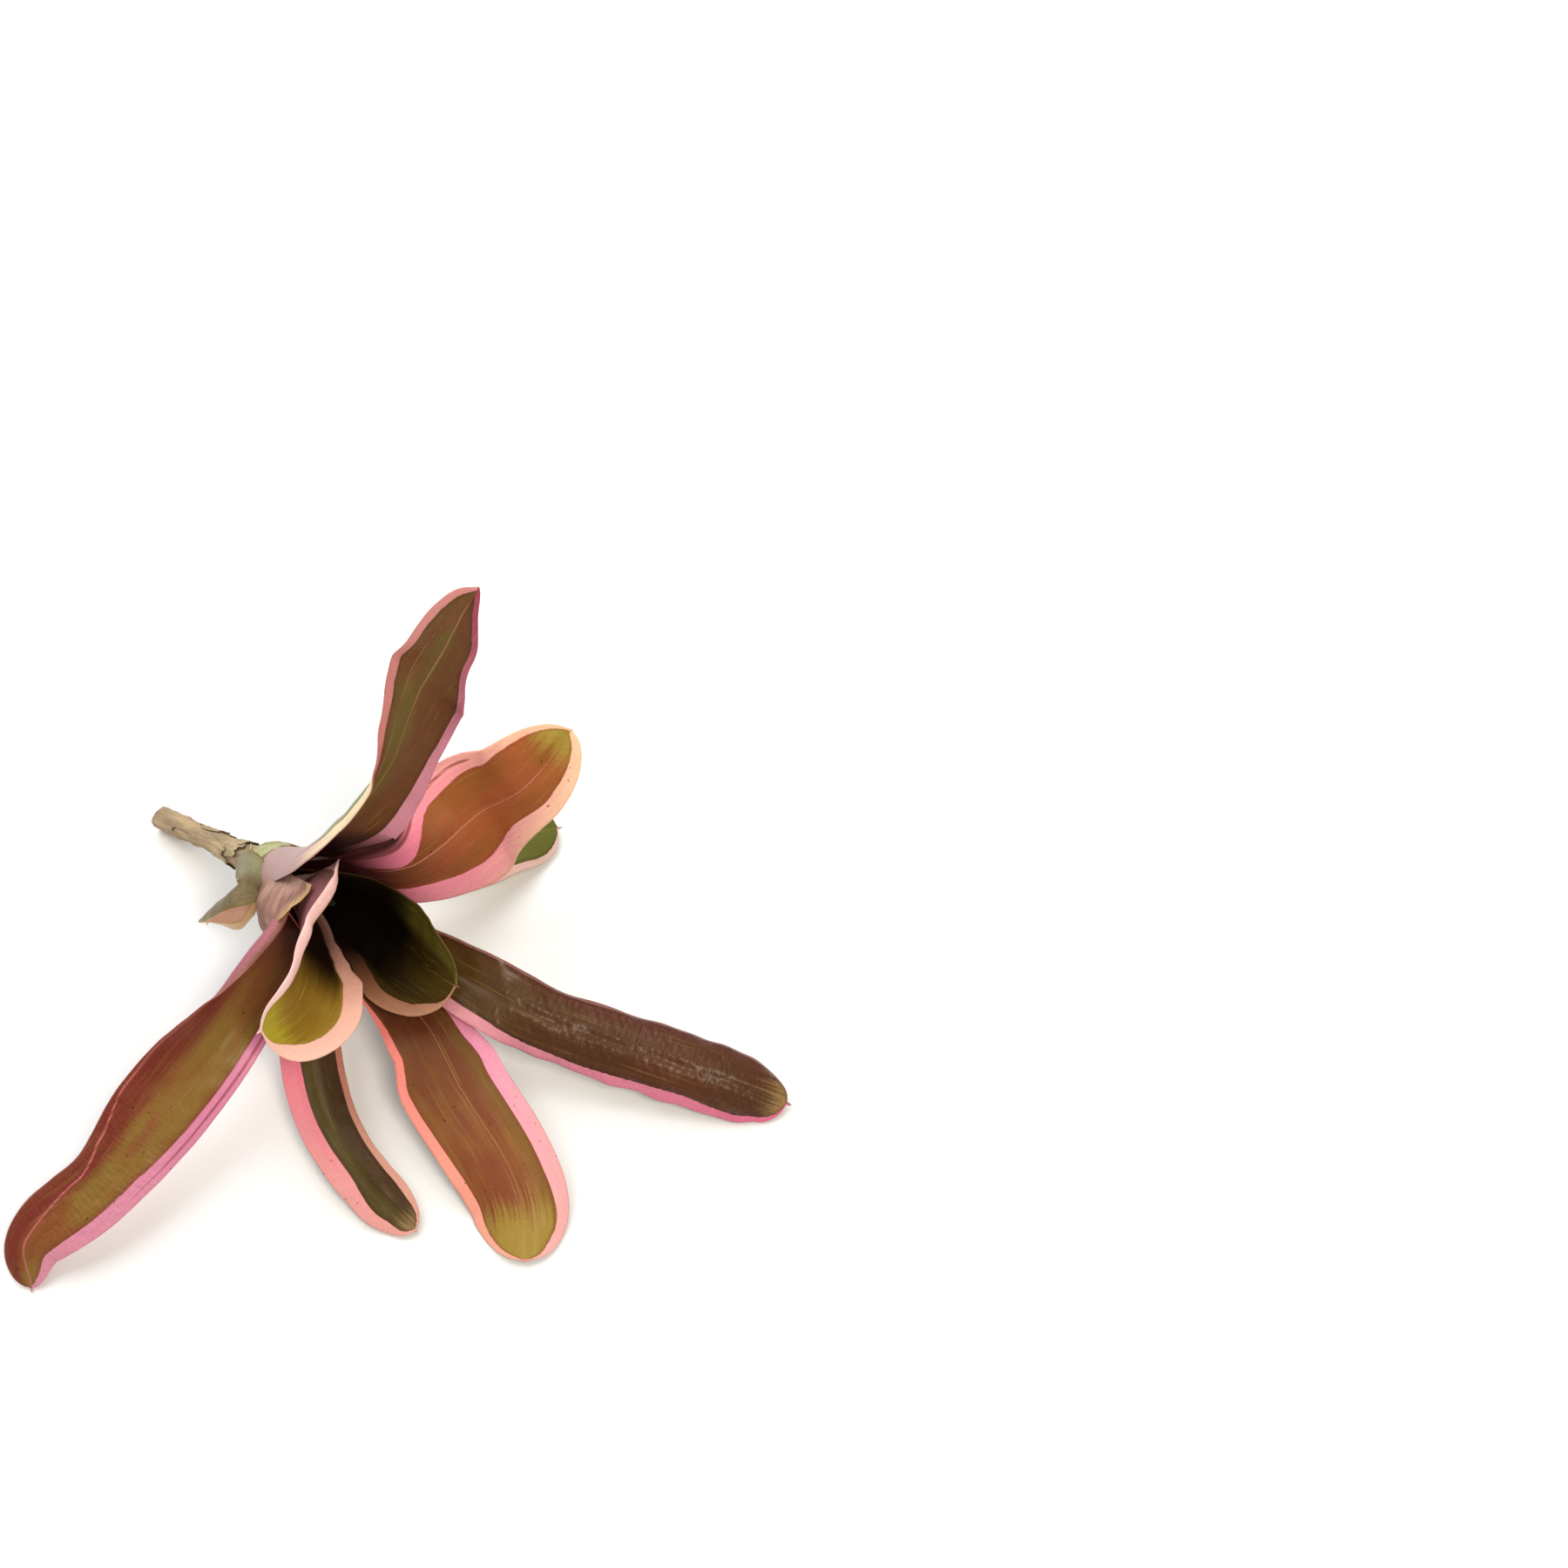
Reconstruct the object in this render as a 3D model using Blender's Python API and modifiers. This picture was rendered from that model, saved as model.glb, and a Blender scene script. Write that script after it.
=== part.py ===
"""A bromeliad cutting: a rosette of strap leaves on a short cut stolon, lying on its side on a flat surface.

Each leaf is a flat grid that is wrapped round the rosette's axis where it clasps the crown (its sheath),
bent outwards along a smooth midrib (its blade), and thickened with a Solidify modifier. Lengths are in
millimetres in "plant axes": +Z is up, the crown's base is straight above the plant origin, and SHIFT moves
the plant origin so that the finished part stands centred on the world origin.
"""
import math

import bmesh
import bpy
import numpy as np

MM = 0.001

# ---- driving dimensions ------------------------------------------------------------------------------------
SHIFT = (-48.2, 43.5, 0.0)            # plant origin to part origin
CROWN = (0.0, 0.0, 32.0)              # centre of the crown's base
AXIS = (0.74, -0.58, 0.34)            # the rosette's axis, from the stolon to the open cup
BASE_RADIUS = 10.0                    # radius at which the outermost sheath starts
NODE_PITCH = 1.6                      # distance along the axis from one leaf base to the next
RING_STEP = 0.75                      # each base starts this much closer to the axis than the one before
CUP_SLOPE = (0.25, 0.004)             # sheath radius grows by a*s + b*s*s along the axis
LEAF_THICK = 0.7
BRACT_THICK = 0.5
STOLON_END = (-43.5, 34.5, 4.5)       # centre of the cut end
STOLON_RADII = (4.6, 3.5, 3.9)        # at the crown, half way, at the cut end
LEAF_ROWS, LEAF_COLS = 26, 8

# ---- the leaves, from the outside in -----------------------------------------------------------------------
# azimuth: where the sheath's middle sits round the axis, from straight up towards the left front, in degrees
# flare:   distance along the axis at which the leaf leaves the tube
# wrap:    how far round the tube each half goes at its foot, in degrees
# blade:   points the midrib passes after the flare
# face:    the way the upper side looks; this row and the next three start with a share of the blade's length
# curl:    curvature across each half (1/mm), hollow above zero
# half:    width of each half
# lip:     extra curl at the rim
# point:   share of the blade's length at which it starts to narrow to the tip
# twist, trans: shares of the blade's length over which it turns to its face and opens from the tube
LEAVES = [
    dict(name="leaf_01_basal", azimuth=45, flare=2.5, wrap=(14, 14), point=0.5, twist=0.3, trans=0.25,
         blade=[(-1, -14.8, 48.5), (-12.2, -15.2, 32), (-17.5, -14.4, 22)], face=[(0, -0.2, -0.3, -0.54)],
         curl=[(0, 0.17, 0.19)], half=[(0, 1, 1), (0.2, 2, 2), (0.45, 10, 8.5), (0.7, 11.5, 8)],
         lip=[(0, 0, 0)]),
    dict(name="leaf_02_back", azimuth=239, flare=14, wrap=(75, 90), point=0.84, twist=0.5, trans=0.3,
         blade=[(57, 11, 14), (74, 24, 8), (87, 31, 3)], face=[(0, 0, -0.3, 1)],
         curl=[(0.4, 0.05, 0.05), (1, -0.025, -0.025)], half=[(0, 5, 9), (0.3, 6, 9), (0.6, 11, 11)],
         lip=[(0, 0, 0)]),
    dict(name="leaf_03_short_front", azimuth=140, flare=16, wrap=(100, 100), point=0.84, twist=0.5, trans=0.3,
         blade=[(16.7, -51, 15.4), (24.6, -76.6, 12.3), (38, -95, 8.2), (52, -107, 2)],
         face=[(0, 0.2, -0.45, 0.9)], curl=[(0.2, 0.05, 0.055), (0.6, -0.047, -0.042), (1, -0.077, -0.077)],
         half=[(0, 9.4, 9.6), (0.5, 9.2, 9.3), (0.75, 8.4, 8.9)], lip=[(0, 0, 0)]),
    dict(name="leaf_04_upright", azimuth=338, flare=20, wrap=(120, 100), point=0.78, twist=0.5, trans=0.3,
         blade=[(29.8, -6, 66.8), (48.2, 1.8, 90.6), (58, 7.7, 114), (67, 10.4, 131), (73.8, 11.4, 146),
                (79.6, 14, 156)],
         face=[(0, 0.74, -0.58, 0.34), (0.35, 0.8, -0.4, 0.4), (0.75, 0.45, -0.55, 0.7)],
         curl=[(0, 0.08, 0.08), (0.15, 0.083, 0.07), (0.3, 0.085, 0.035), (0.6, 0.017, 0.062),
               (1, 0.032, 0.08)],
         half=[(0, 13.5, 17), (0.12, 12.4, 20), (0.24, 11.5, 19.5), (0.45, 10.5, 15.3), (0.6, 10, 14.9),
               (0.78, 13.8, 9), (1, 12.2, 4.4)],
         lip=[(0, 0.15, 0), (0.3, 0.4, 0), (0.5, 0, 0)]),
    dict(name="leaf_05_long_right", azimuth=205, flare=23, wrap=(100, 100), point=0.84, twist=0.5, trans=0.3,
         blade=[(61, -35.3, 29.8), (82, -46, 26.6), (103, -52.5, 20.8), (130, -60, 15.7), (150, -65, 9.2),
                (162, -66.7, 2.5)],
         face=[(0, 0, -0.35, 0.9)],
         curl=[(0.3, 0.047, 0.044), (0.5, -0.069, -0.063), (1, -0.084, -0.081)],
         half=[(0.05, 5, 3.5), (0.34, 10.3, 11.4), (0.5, 10.2, 12.8), (0.75, 11.8, 13.6)], lip=[(0, 0, 0)]),
    dict(name="leaf_06_long_left", azimuth=105, flare=25, wrap=(100, 100), point=0.76, twist=0.5, trans=0.3,
         blade=[(6, -44, 39.5), (-6, -65, 35), (-23, -85.5, 25.5), (-40, -104, 17), (-56.8, -115.5, 9.5),
                (-58.8, -124.3, 0.6)],
         face=[(0, 0.5, -0.3, 0.8), (0.5, 0.1, -0.5, 0.85), (1, 0, -0.4, 0.9)],
         curl=[(0.2, 0.04, 0.057), (0.5, -0.03, 0), (1, -0.04, -0.043)],
         half=[(0, 11, 20), (0.13, 11, 20), (0.28, 11.3, 15), (0.5, 12, 16), (0.72, 9.2, 13),
               (0.9, 9.5, 13.2)],
         lip=[(0, 0, 0.6), (0.15, 0, 0.6), (0.3, 0, 0)]),
    dict(name="leaf_07_upper_right", azimuth=290, flare=24, wrap=(110, 90), point=0.7, twist=0.5, trans=0.15,
         blade=[(46.3, -9.5, 47), (68, 6.5, 52), (82, 6.8, 64.7), (98, 20, 78)], face=[(0, 0.3, -0.6, 0.7)],
         curl=[(0, -0.03, 0.03), (0.3, -0.035, -0.02), (0.65, -0.02, 0.03)],
         half=[(0, 8.5, 8.8), (0.22, 9, 14), (0.46, 20.5, 20), (0.75, 17, 13)], lip=[(0, 0, 0)]),
    dict(name="leaf_08_broad_front", azimuth=155, flare=30, wrap=(90, 90), point=0.84, twist=0.3, trans=0.25,
         blade=[(44, -40, 23), (54.8, -51.6, 21), (63.8, -67.3, 17), (74.4, -82.6, 14), (84, -101, 7.6),
                (85.5, -116.5, 2)],
         face=[(0, 0.1, -0.4, 0.9)], curl=[(0.2, 0.033, 0.031), (0.6, -0.017, -0.01), (1, -0.05, -0.06)],
         half=[(0.1, 2.5, 7.5), (0.38, 11, 14), (0.5, 14.4, 17.4)], lip=[(0, 0, 0)]),
    dict(name="leaf_09_cup_right", azimuth=200, flare=38, wrap=(90, 86), point=0.45, twist=0.8, trans=0.6,
         blade=[(51, -34.5, 32.5), (63.5, -44.5, 38)], face=[(0, 0.1, -0.6, 0.77)], curl=[(0, 0.06, 0.062)],
         half=[(0, 15.6, 13), (0.5, 15.7, 19)], lip=[(0, 0, 0), (0.2, -0.02, -0.02), (0.5, -0.1, -0.06)]),
    dict(name="leaf_10_cup_left", azimuth=100, flare=34, wrap=(90, 90), point=0.5, twist=1.0, trans=0.45,
         blade=[(20.5, -57, 51.3), (12.4, -68.6, 57)], face=[(0, 0.33, -0.69, 0.57)],
         curl=[(0.1, 0.067, 0.1), (0.45, 0.067, 0.085), (0.7, 0.06, 0.08), (1, 0.036, 0.077)],
         half=[(0, 11, 34), (0.15, 14, 32), (0.35, 17.5, 23), (0.6, 19.5, 14)],
         lip=[(0, 0, -0.3), (0.2, 0, -0.45), (0.45, 0, -0.6), (0.7, 0, -0.5), (1, 0, -0.1)]),
]

# dry bracts left on the stolon: distance of the foot from the crown, length, azimuth, half wrap in degrees
BRACTS = [("dry_bract_1", 31.0, 13.0, 20.0, 95.0), ("dry_bract_2", 20.5, 12.5, 150.0, 110.0),
          ("dry_bract_3", 11.5, 9.5, 330.0, 120.0)]

COLOURS = {"leaf": (0.30, 0.20, 0.06), "cup": (0.24, 0.25, 0.05), "stolon": (0.36, 0.24, 0.12),
           "bract": (0.30, 0.20, 0.11), "crown": (0.45, 0.40, 0.26)}


# ---- small helpers -----------------------------------------------------------------------------------------
def unit(v):
    return v / np.linalg.norm(v, axis=-1, keepdims=True)


def smooth(t):
    t = np.clip(t, 0.0, 1.0)
    return t * t * (3.0 - 2.0 * t)


def ease(t, stops):
    """Value rows at t, easing from stop to stop; a stop is (t, value, value, ...)."""
    x = np.array([s[0] for s in stops], float)
    y = np.array([s[1:] for s in stops], float)
    if len(x) == 1:
        return np.repeat(y, len(t), axis=0)
    k = np.clip(np.searchsorted(x, t, side="right") - 1, 0, len(x) - 2)
    w = smooth((t - x[k]) / (x[k + 1] - x[k]))[:, None]
    return y[k] * (1.0 - w) + y[k + 1] * w


AX = unit(np.array(AXIS))
UP = unit(np.array([0.0, 0.0, 1.0]) - AX * AX[2])
SIDE = np.cross(AX, UP)
BASE = np.array(CROWN)


def outward(azimuth):
    a = math.radians(azimuth)
    return math.cos(a) * UP + math.sin(a) * SIDE


def cup(s):
    return CUP_SLOPE[0] * s + CUP_SLOPE[1] * s * s


def spline(points, count):
    """Evenly spaced points on the natural cubic through the given points."""
    p = np.array(points, float)
    d = np.concatenate([[0.0], np.cumsum(np.linalg.norm(np.diff(p, axis=0), axis=1) ** 0.75)])
    m, h = len(p), np.diff(d)
    a, r = np.eye(m), np.zeros((m, 3))
    for i in range(1, m - 1):
        a[i, i - 1:i + 2] = h[i - 1], 2.0 * (h[i - 1] + h[i]), h[i]
        r[i] = 6.0 * ((p[i + 1] - p[i]) / h[i] - (p[i] - p[i - 1]) / h[i - 1])
    curve = np.linalg.solve(a, r)
    t = np.linspace(0.0, d[-1], 600)
    k = np.clip(np.searchsorted(d, t, side="right") - 1, 0, m - 2)
    hk = h[k][:, None]
    f, g = (d[k + 1] - t)[:, None] / hk, (t - d[k])[:, None] / hk
    q = f * p[k] + g * p[k + 1] + ((f ** 3 - f) * curve[k] + (g ** 3 - g) * curve[k + 1]) * hk ** 2 / 6.0
    s = np.concatenate([[0.0], np.cumsum(np.linalg.norm(np.diff(q, axis=0), axis=1))])
    even = np.linspace(0.0, s[-1], count)
    return np.stack([np.interp(even, s, q[:, i]) for i in range(3)], axis=1)


def leaf_surface(leaf, order, rows, cols):
    """The leaf's middle surface: a (rows + 1) x (cols + 1) grid of points, foot to tip and left to right."""
    foot = NODE_PITCH * order
    foot_radius = BASE_RADIUS - RING_STEP * order

    def on_tube(s):
        return BASE + s * AX + (foot_radius + cup(s) - cup(foot)) * outward(leaf["azimuth"])

    flare = on_tube(leaf["flare"])
    mid = spline([on_tube(foot), on_tube((foot + leaf["flare"]) / 2), flare] + leaf["blade"], rows + 1)
    u = np.linspace(0.0, 1.0, rows + 1)
    at_flare = int(np.argmin(np.linalg.norm(mid - flare, axis=1)))
    t = np.clip((u - u[at_flare]) / (1.0 - u[at_flare]), 0.0, 1.0)      # share of the blade's length
    sheath = u <= u[at_flare]

    # across and face directions: round the axis in the sheath, then turning to the blade's own
    along = unit(np.gradient(mid, axis=0))
    arm = mid - BASE - ((mid - BASE) @ AX)[:, None] * AX
    radius = np.linalg.norm(arm, axis=1)
    across = np.cross(unit(arm), AX)
    across[~sheath] = across[at_flare]
    turn = smooth(t / leaf["twist"])[:, None]
    across = across * (1.0 - turn) + unit(np.cross(along, unit(ease(t, leaf["face"])))) * turn
    across = unit(across - np.sum(across * along, axis=1)[:, None] * along)
    lift = smooth(t / 0.12)[:, None] * ~sheath[:, None]
    normal = unit(-unit(arm) * (1.0 - lift) + np.cross(across, along) * lift)

    # curvature and width of each half
    free = smooth(t / leaf["trans"])[:, None]
    curl = (1.0 - free) / np.maximum(radius, 3.0)[:, None] + free * ease(t, leaf["curl"])
    half = ease(t, leaf["half"])
    share = (u / u[at_flare])[:, None]
    wrap = np.radians(np.array(leaf["wrap"], float)) * (1.0 - share)
    wrap = wrap + half[at_flare] / radius[at_flare] * share
    half = np.where(sheath[:, None], radius[:, None] * wrap, half)
    x = np.clip((t - leaf["point"]) / (1.0 - leaf["point"]), 0.0, 1.0)
    half = np.maximum(half * (1.0 - x ** 2.2)[:, None] ** (1 / 1.9), 0.8)
    lip = ease(t, leaf["lip"]) * smooth(t / 0.08)[:, None]

    grid = np.zeros((rows + 1, cols + 1, 3))
    fine = np.linspace(0.0, 1.0, 41)
    v = np.linspace(-1.0, 1.0, cols + 1)
    for i in range(rows + 1):
        for side, sign in ((0, -1.0), (1, 1.0)):
            w = half[i, side]
            bend = w * (curl[i, side] * fine + lip[i, side] * np.maximum(0.0, fine - 0.6) ** 2 / 0.8)
            dx, dy = w * np.cos(bend), w * np.sin(bend)
            px = np.concatenate([[0.0], np.cumsum((dx[1:] + dx[:-1]) / 80.0)])
            py = np.concatenate([[0.0], np.cumsum((dy[1:] + dy[:-1]) / 80.0)])
            m = v * sign >= 0.0
            a, b = np.interp(abs(v[m]), fine, px), np.interp(abs(v[m]), fine, py)
            grid[i, m] = mid[i] + sign * a[:, None] * across[i] + b[:, None] * normal[i]
    return grid


# ---- building ----------------------------------------------------------------------------------------------
def clear():
    for ob in list(bpy.data.objects):
        bpy.data.objects.remove(ob, do_unlink=True)


def material(name, colour, rough):
    mat = bpy.data.materials.new(name)
    mat.use_nodes = True
    shader = mat.node_tree.nodes["Principled BSDF"]
    shader.inputs["Base Color"].default_value = (*colour, 1.0)
    shader.inputs["Roughness"].default_value = rough
    return mat


def add(bm, name, collection, colour, rough):
    mesh = bpy.data.meshes.new(name)
    for v in bm.verts:
        v.co = [(v.co[i] + SHIFT[i]) * MM for i in range(3)]
    bm.to_mesh(mesh)
    bm.free()
    ob = bpy.data.objects.new(name, mesh)
    mesh.materials.append(material(name, colour, rough))
    collection.objects.link(ob)
    return ob


def solidify(ob, thick):
    mod = ob.modifiers.new("thickness", "SOLIDIFY")
    mod.thickness = thick * MM
    mod.offset = 0.0
    return ob


def sheet(grid, name, collection, colour, thick):
    """A flat grid primitive moved onto the given grid of points and thickened."""
    rows, cols = grid.shape[0] - 1, grid.shape[1] - 1
    bm = bmesh.new()
    bmesh.ops.create_grid(bm, x_segments=cols, y_segments=rows, size=1.0)
    for v in bm.verts:
        v.co = grid[round((v.co.y + 1.0) / 2.0 * rows), round((v.co.x + 1.0) / 2.0 * cols)]
    return solidify(add(bm, name, collection, colour, 0.35), thick)


def rod(name, collection, colour, start, end, profile, segments, cuts, end_slant=0.0):
    """A round rod from start to end whose radius is profile(share of its length)."""
    start, end = np.array(start, float), np.array(end, float)
    axis = unit(end - start)
    x = unit(np.cross(axis, (0.0, 0.0, 1.0)))
    y = np.cross(axis, x)
    length = np.linalg.norm(end - start)
    bm = bmesh.new()
    bmesh.ops.create_cone(bm, cap_ends=True, cap_tris=False, segments=segments,
                          radius1=1.0, radius2=1.0, depth=1.0)
    long_edges = [e for e in bm.edges if abs(e.verts[0].co.z - e.verts[1].co.z) > 0.5]
    bmesh.ops.subdivide_edges(bm, edges=long_edges, cuts=cuts, use_grid_fill=False)
    for v in bm.verts:
        t = v.co.z + 0.5
        r = profile(t)
        slide = end_slant * r * v.co.y * smooth((t - 0.9) / 0.1)
        v.co = start + (t * length + float(slide)) * axis + r * (v.co.x * x + v.co.y * y)
    return add(bm, name, collection, colour, 0.6)


def stolon_radius(t):
    a, b, c = STOLON_RADII
    smooth_part = a + (b - a) * min(t * 2.0, 1.0) + (c - b) * max(t * 2.0 - 1.0, 0.0)
    swell = sum(0.35 * math.exp(-((t - at) / 0.03) ** 2) for at in (0.2, 0.38, 0.58, 0.76))
    return smooth_part + swell


def bract_surface(foot, length, azimuth, wrap, start, axis, full):
    """A torn, dry scale: part of a sleeve round the stolon that opens towards the crown."""
    rows, cols = 6, 10
    x = unit(np.cross(axis, (0.0, 0.0, 1.0)))
    y = np.cross(axis, x)
    grid = np.zeros((rows + 1, cols + 1, 3))
    for i in range(rows + 1):
        for j in range(cols + 1):
            u, v = i / rows, 2.0 * j / cols - 1.0
            ragged = 1.0 - 0.22 * (0.5 + 0.5 * math.cos(5.0 * math.pi * v + foot)) - 0.25 * v * v
            d = foot - length * u * ragged
            r = stolon_radius(d / full) + 0.5 * BRACT_THICK + 0.45 + 1.3 * u ** 1.5
            a = math.radians(azimuth + wrap * v * (1.0 - 0.25 * u))
            grid[i, j] = start + d * axis + r * (math.cos(a) * x + math.sin(a) * y)
    return grid


def build():
    clear()
    part = bpy.data.collections.new("bromeliad_cutting")
    bpy.context.scene.collection.children.link(part)

    # the crown: a short cone of stem that the leaf bases ring
    last = NODE_PITCH * len(LEAVES)
    core = BASE_RADIUS - LEAF_THICK / 2 - 0.5

    def crown_radius(t):
        s = t * (last + 3.0) - 3.0
        return core - max(RING_STEP / NODE_PITCH * s, -0.9 * s)

    rod("crown_stem", part, COLOURS["crown"], BASE - 3.0 * AX, BASE + last * AX, crown_radius, 24, 5)

    # the cut stolon and its dry bracts
    start = BASE - 3.95 * AX
    end = np.array(STOLON_END)
    rod("cut_stolon", part, COLOURS["stolon"], start, end, stolon_radius, 20, 14, end_slant=0.5)
    full = float(np.linalg.norm(end - start))
    for name, foot, length, azimuth, wrap in BRACTS:
        grid = bract_surface(foot, length, azimuth, wrap, start, unit(end - start), full)
        sheet(grid, name, part, COLOURS["bract"], BRACT_THICK)

    # the leaves, and the rolled heart leaf in the middle of the cup
    for order, leaf in enumerate(LEAVES):
        colour = COLOURS["cup" if order > 7 else "leaf"]
        sheet(leaf_surface(leaf, order, LEAF_ROWS, LEAF_COLS), leaf["name"], part, colour, LEAF_THICK)
    rod("heart_leaf", part, COLOURS["cup"], BASE + (last + 0.35) * AX, BASE + 36.0 * AX,
        lambda t: 1.9 + 1.6 * math.sin(math.pi * min(1.0, t * 1.1) * 0.6) - 2.9 * t ** 3, 12, 7)


build()
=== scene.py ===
# %% [markdown]
# # A pup cut from a variegated rosette plant
# The object is one side shoot of a tank bromeliad, lying where it was put down after it was cut. It has a short
# woody runner, a ring of overlapping strap leaves with pink edges, and a small water cup in the middle.
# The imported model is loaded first. It is the fixed frame: it says where every leaf is, and each piece made below
# stands for one of its nodes. Only the old sheath is made for the looks alone and has no node.

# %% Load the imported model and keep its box
import math

import bpy
import numpy as np
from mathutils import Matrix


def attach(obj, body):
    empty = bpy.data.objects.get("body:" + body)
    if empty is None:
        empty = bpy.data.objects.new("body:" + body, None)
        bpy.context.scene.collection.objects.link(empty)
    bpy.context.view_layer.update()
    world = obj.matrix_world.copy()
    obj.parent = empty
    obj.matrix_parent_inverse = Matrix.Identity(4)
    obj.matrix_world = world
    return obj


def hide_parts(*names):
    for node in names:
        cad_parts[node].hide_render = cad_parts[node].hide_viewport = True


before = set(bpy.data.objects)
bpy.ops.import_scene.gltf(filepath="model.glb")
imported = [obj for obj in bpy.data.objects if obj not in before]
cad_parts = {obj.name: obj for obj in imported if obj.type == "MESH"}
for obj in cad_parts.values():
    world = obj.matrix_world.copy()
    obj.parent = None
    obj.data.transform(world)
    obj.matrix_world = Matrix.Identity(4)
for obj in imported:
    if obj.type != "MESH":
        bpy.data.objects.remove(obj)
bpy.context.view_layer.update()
print("CAD nodes:", ", ".join(sorted(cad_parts)))

# %% [markdown]
# ## The plant's own axes
# A rosette is easiest to describe round its own axis, from the runner to the open cup. All lengths in the tables
# below are millimetres from the plant's own origin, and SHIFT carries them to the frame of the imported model.
# Nearly every piece is wrapped round a line, so a line is kept as its start, its direction, and the two directions
# that an angle turns between. `wrapped` then places points round it.

# %% Axes of the rosette
MM = 0.001
SHIFT = np.array((-48.2, 43.5, 0.0))
CROWN = np.array((0.0, 0.0, 32.0))              # where the axis starts


def unit(v):
    return v / np.linalg.norm(v, axis=-1, keepdims=True)


AXIS = unit(np.array((0.74, -0.58, 0.34)))
UP = unit(np.array((0.0, 0.0, 1.0)) - AXIS * AXIS[2])
SIDE = np.cross(AXIS, UP)
ROSETTE = (CROWN, AXIS, UP, SIDE)


def wrapped(line, along, radius, angle):
    """Points so many mm along a line and out from it, at an angle in radians."""
    start, axis, x, y = line
    along, radius, angle = (a[..., None] for a in np.broadcast_arrays(along, radius, angle))
    return start + along * axis + radius * (np.cos(angle) * x + np.sin(angle) * y)


print("axis of the rosette:", AXIS.round(3), "leaning", round(math.degrees(math.asin(AXIS[2]))), "degrees up")

# %% [markdown]
# ## Start with a grid
# An operator acts on whatever is selected, and the loaded nodes start out selected, so everything is deselected
# before a new primitive is added. The sheets of this plant start as grid primitives. `grid_piece` adds one and tells
# which row and column each vertex stands for, so that a field of points can be laid over it.

# %% Add a grid and move its vertices
def start_fresh():
    if bpy.context.object and bpy.context.object.mode != "OBJECT":
        bpy.ops.object.mode_set(mode="OBJECT")
    bpy.ops.object.select_all(action="DESELECT")


def read_points(ob):
    flat = np.zeros(len(ob.data.vertices) * 3)
    ob.data.vertices.foreach_get("co", flat)
    return flat.reshape(-1, 3)


def grid_piece(name, rows, cols):
    start_fresh()
    bpy.ops.mesh.primitive_grid_add(x_subdivisions=cols, y_subdivisions=rows, size=2.0)
    ob = bpy.context.object
    ob.name = ob.data.name = name
    share = (read_points(ob) + 1) / 2
    return ob, (np.rint(share[:, 1] * rows).astype(int), np.rint(share[:, 0] * cols).astype(int))


def move_points(ob, points):
    """Puts the vertices at points given in the plant's own millimetres."""
    ob.data.vertices.foreach_set("co", ((points + SHIFT) * MM).ravel())


start_fresh()
print("selected after the first call:", len(bpy.context.selected_objects))

# %% [markdown]
# ## Numbers on the mesh, and the end of each piece
# A material can read numbers that are stored on the vertices, called attributes, and they stay in place whatever the
# surface does. When a piece has its shape, its modifiers are applied, the node it stands for is hidden, and it is
# hung on the one body.

# %% Write an attribute, finish a piece
def write_attribute(ob, name, kind, values):
    """kind is FLOAT_COLOR for four numbers on each vertex and FLOAT_VECTOR for three."""
    layer = ob.data.attributes.new(name, kind, "POINT")
    layer.data.foreach_set("color" if kind == "FLOAT_COLOR" else "vector", values.astype(np.float32).ravel())


def triple(a, b, c):
    return np.stack(np.broadcast_arrays(a, b, c), axis=-1)


def finish(ob, node):
    start_fresh()
    ob.select_set(True)
    bpy.context.view_layer.objects.active = ob
    for modifier in list(ob.modifiers):
        bpy.ops.object.modifier_apply(modifier=modifier.name)
    bpy.ops.object.shade_smooth()
    if node:
        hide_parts(node)
    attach(ob, "root")


print("three numbers for one vertex:", triple(1.0, 2.0, 3.0))

# %% [markdown]
# ## Smooth tables
# A leaf's width, curl and coloured bands change along its length, and a few numbers describe each. `ease` reads a
# short table of stops and turns smoothly from one to the next.

# %% Read a table
def smooth(t):
    t = np.clip(t, 0.0, 1.0)
    return t * t * (3.0 - 2.0 * t)


def ease(t, stops):
    """Value rows at t, easing from stop to stop; a stop is (t, value, value, ...)."""
    x = np.array([s[0] for s in stops], float)
    y = np.array([s[1:] for s in stops], float)
    if len(x) == 1:
        return np.repeat(y, len(t), axis=0)
    k = np.clip(np.searchsorted(x, t, side="right") - 1, 0, len(x) - 2)
    w = smooth((t - x[k]) / (x[k + 1] - x[k]))[:, None]
    return y[k] * (1.0 - w) + y[k + 1] * w


print("an eased table half way from 2 to 6:", ease(np.array([0.5]), [(0, 2), (1, 6)])[0])

# %% [markdown]
# ## The line of a midrib
# A midrib bends in all directions at once, so it is a curve in space through a few points. A natural cubic spline
# bends as little as it can between them, as a springy leaf does.

# %% A spline through points
SPLINE_SAMPLES, KNOT_POWER = 1200, 0.75         # the power keeps the curve calm where points lie unevenly


def path_length(p, power=1.0):
    """Distance from the first point to each point, along the line."""
    return np.concatenate([[0.0], np.cumsum(np.linalg.norm(np.diff(p, axis=0), axis=1) ** power)])


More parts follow.
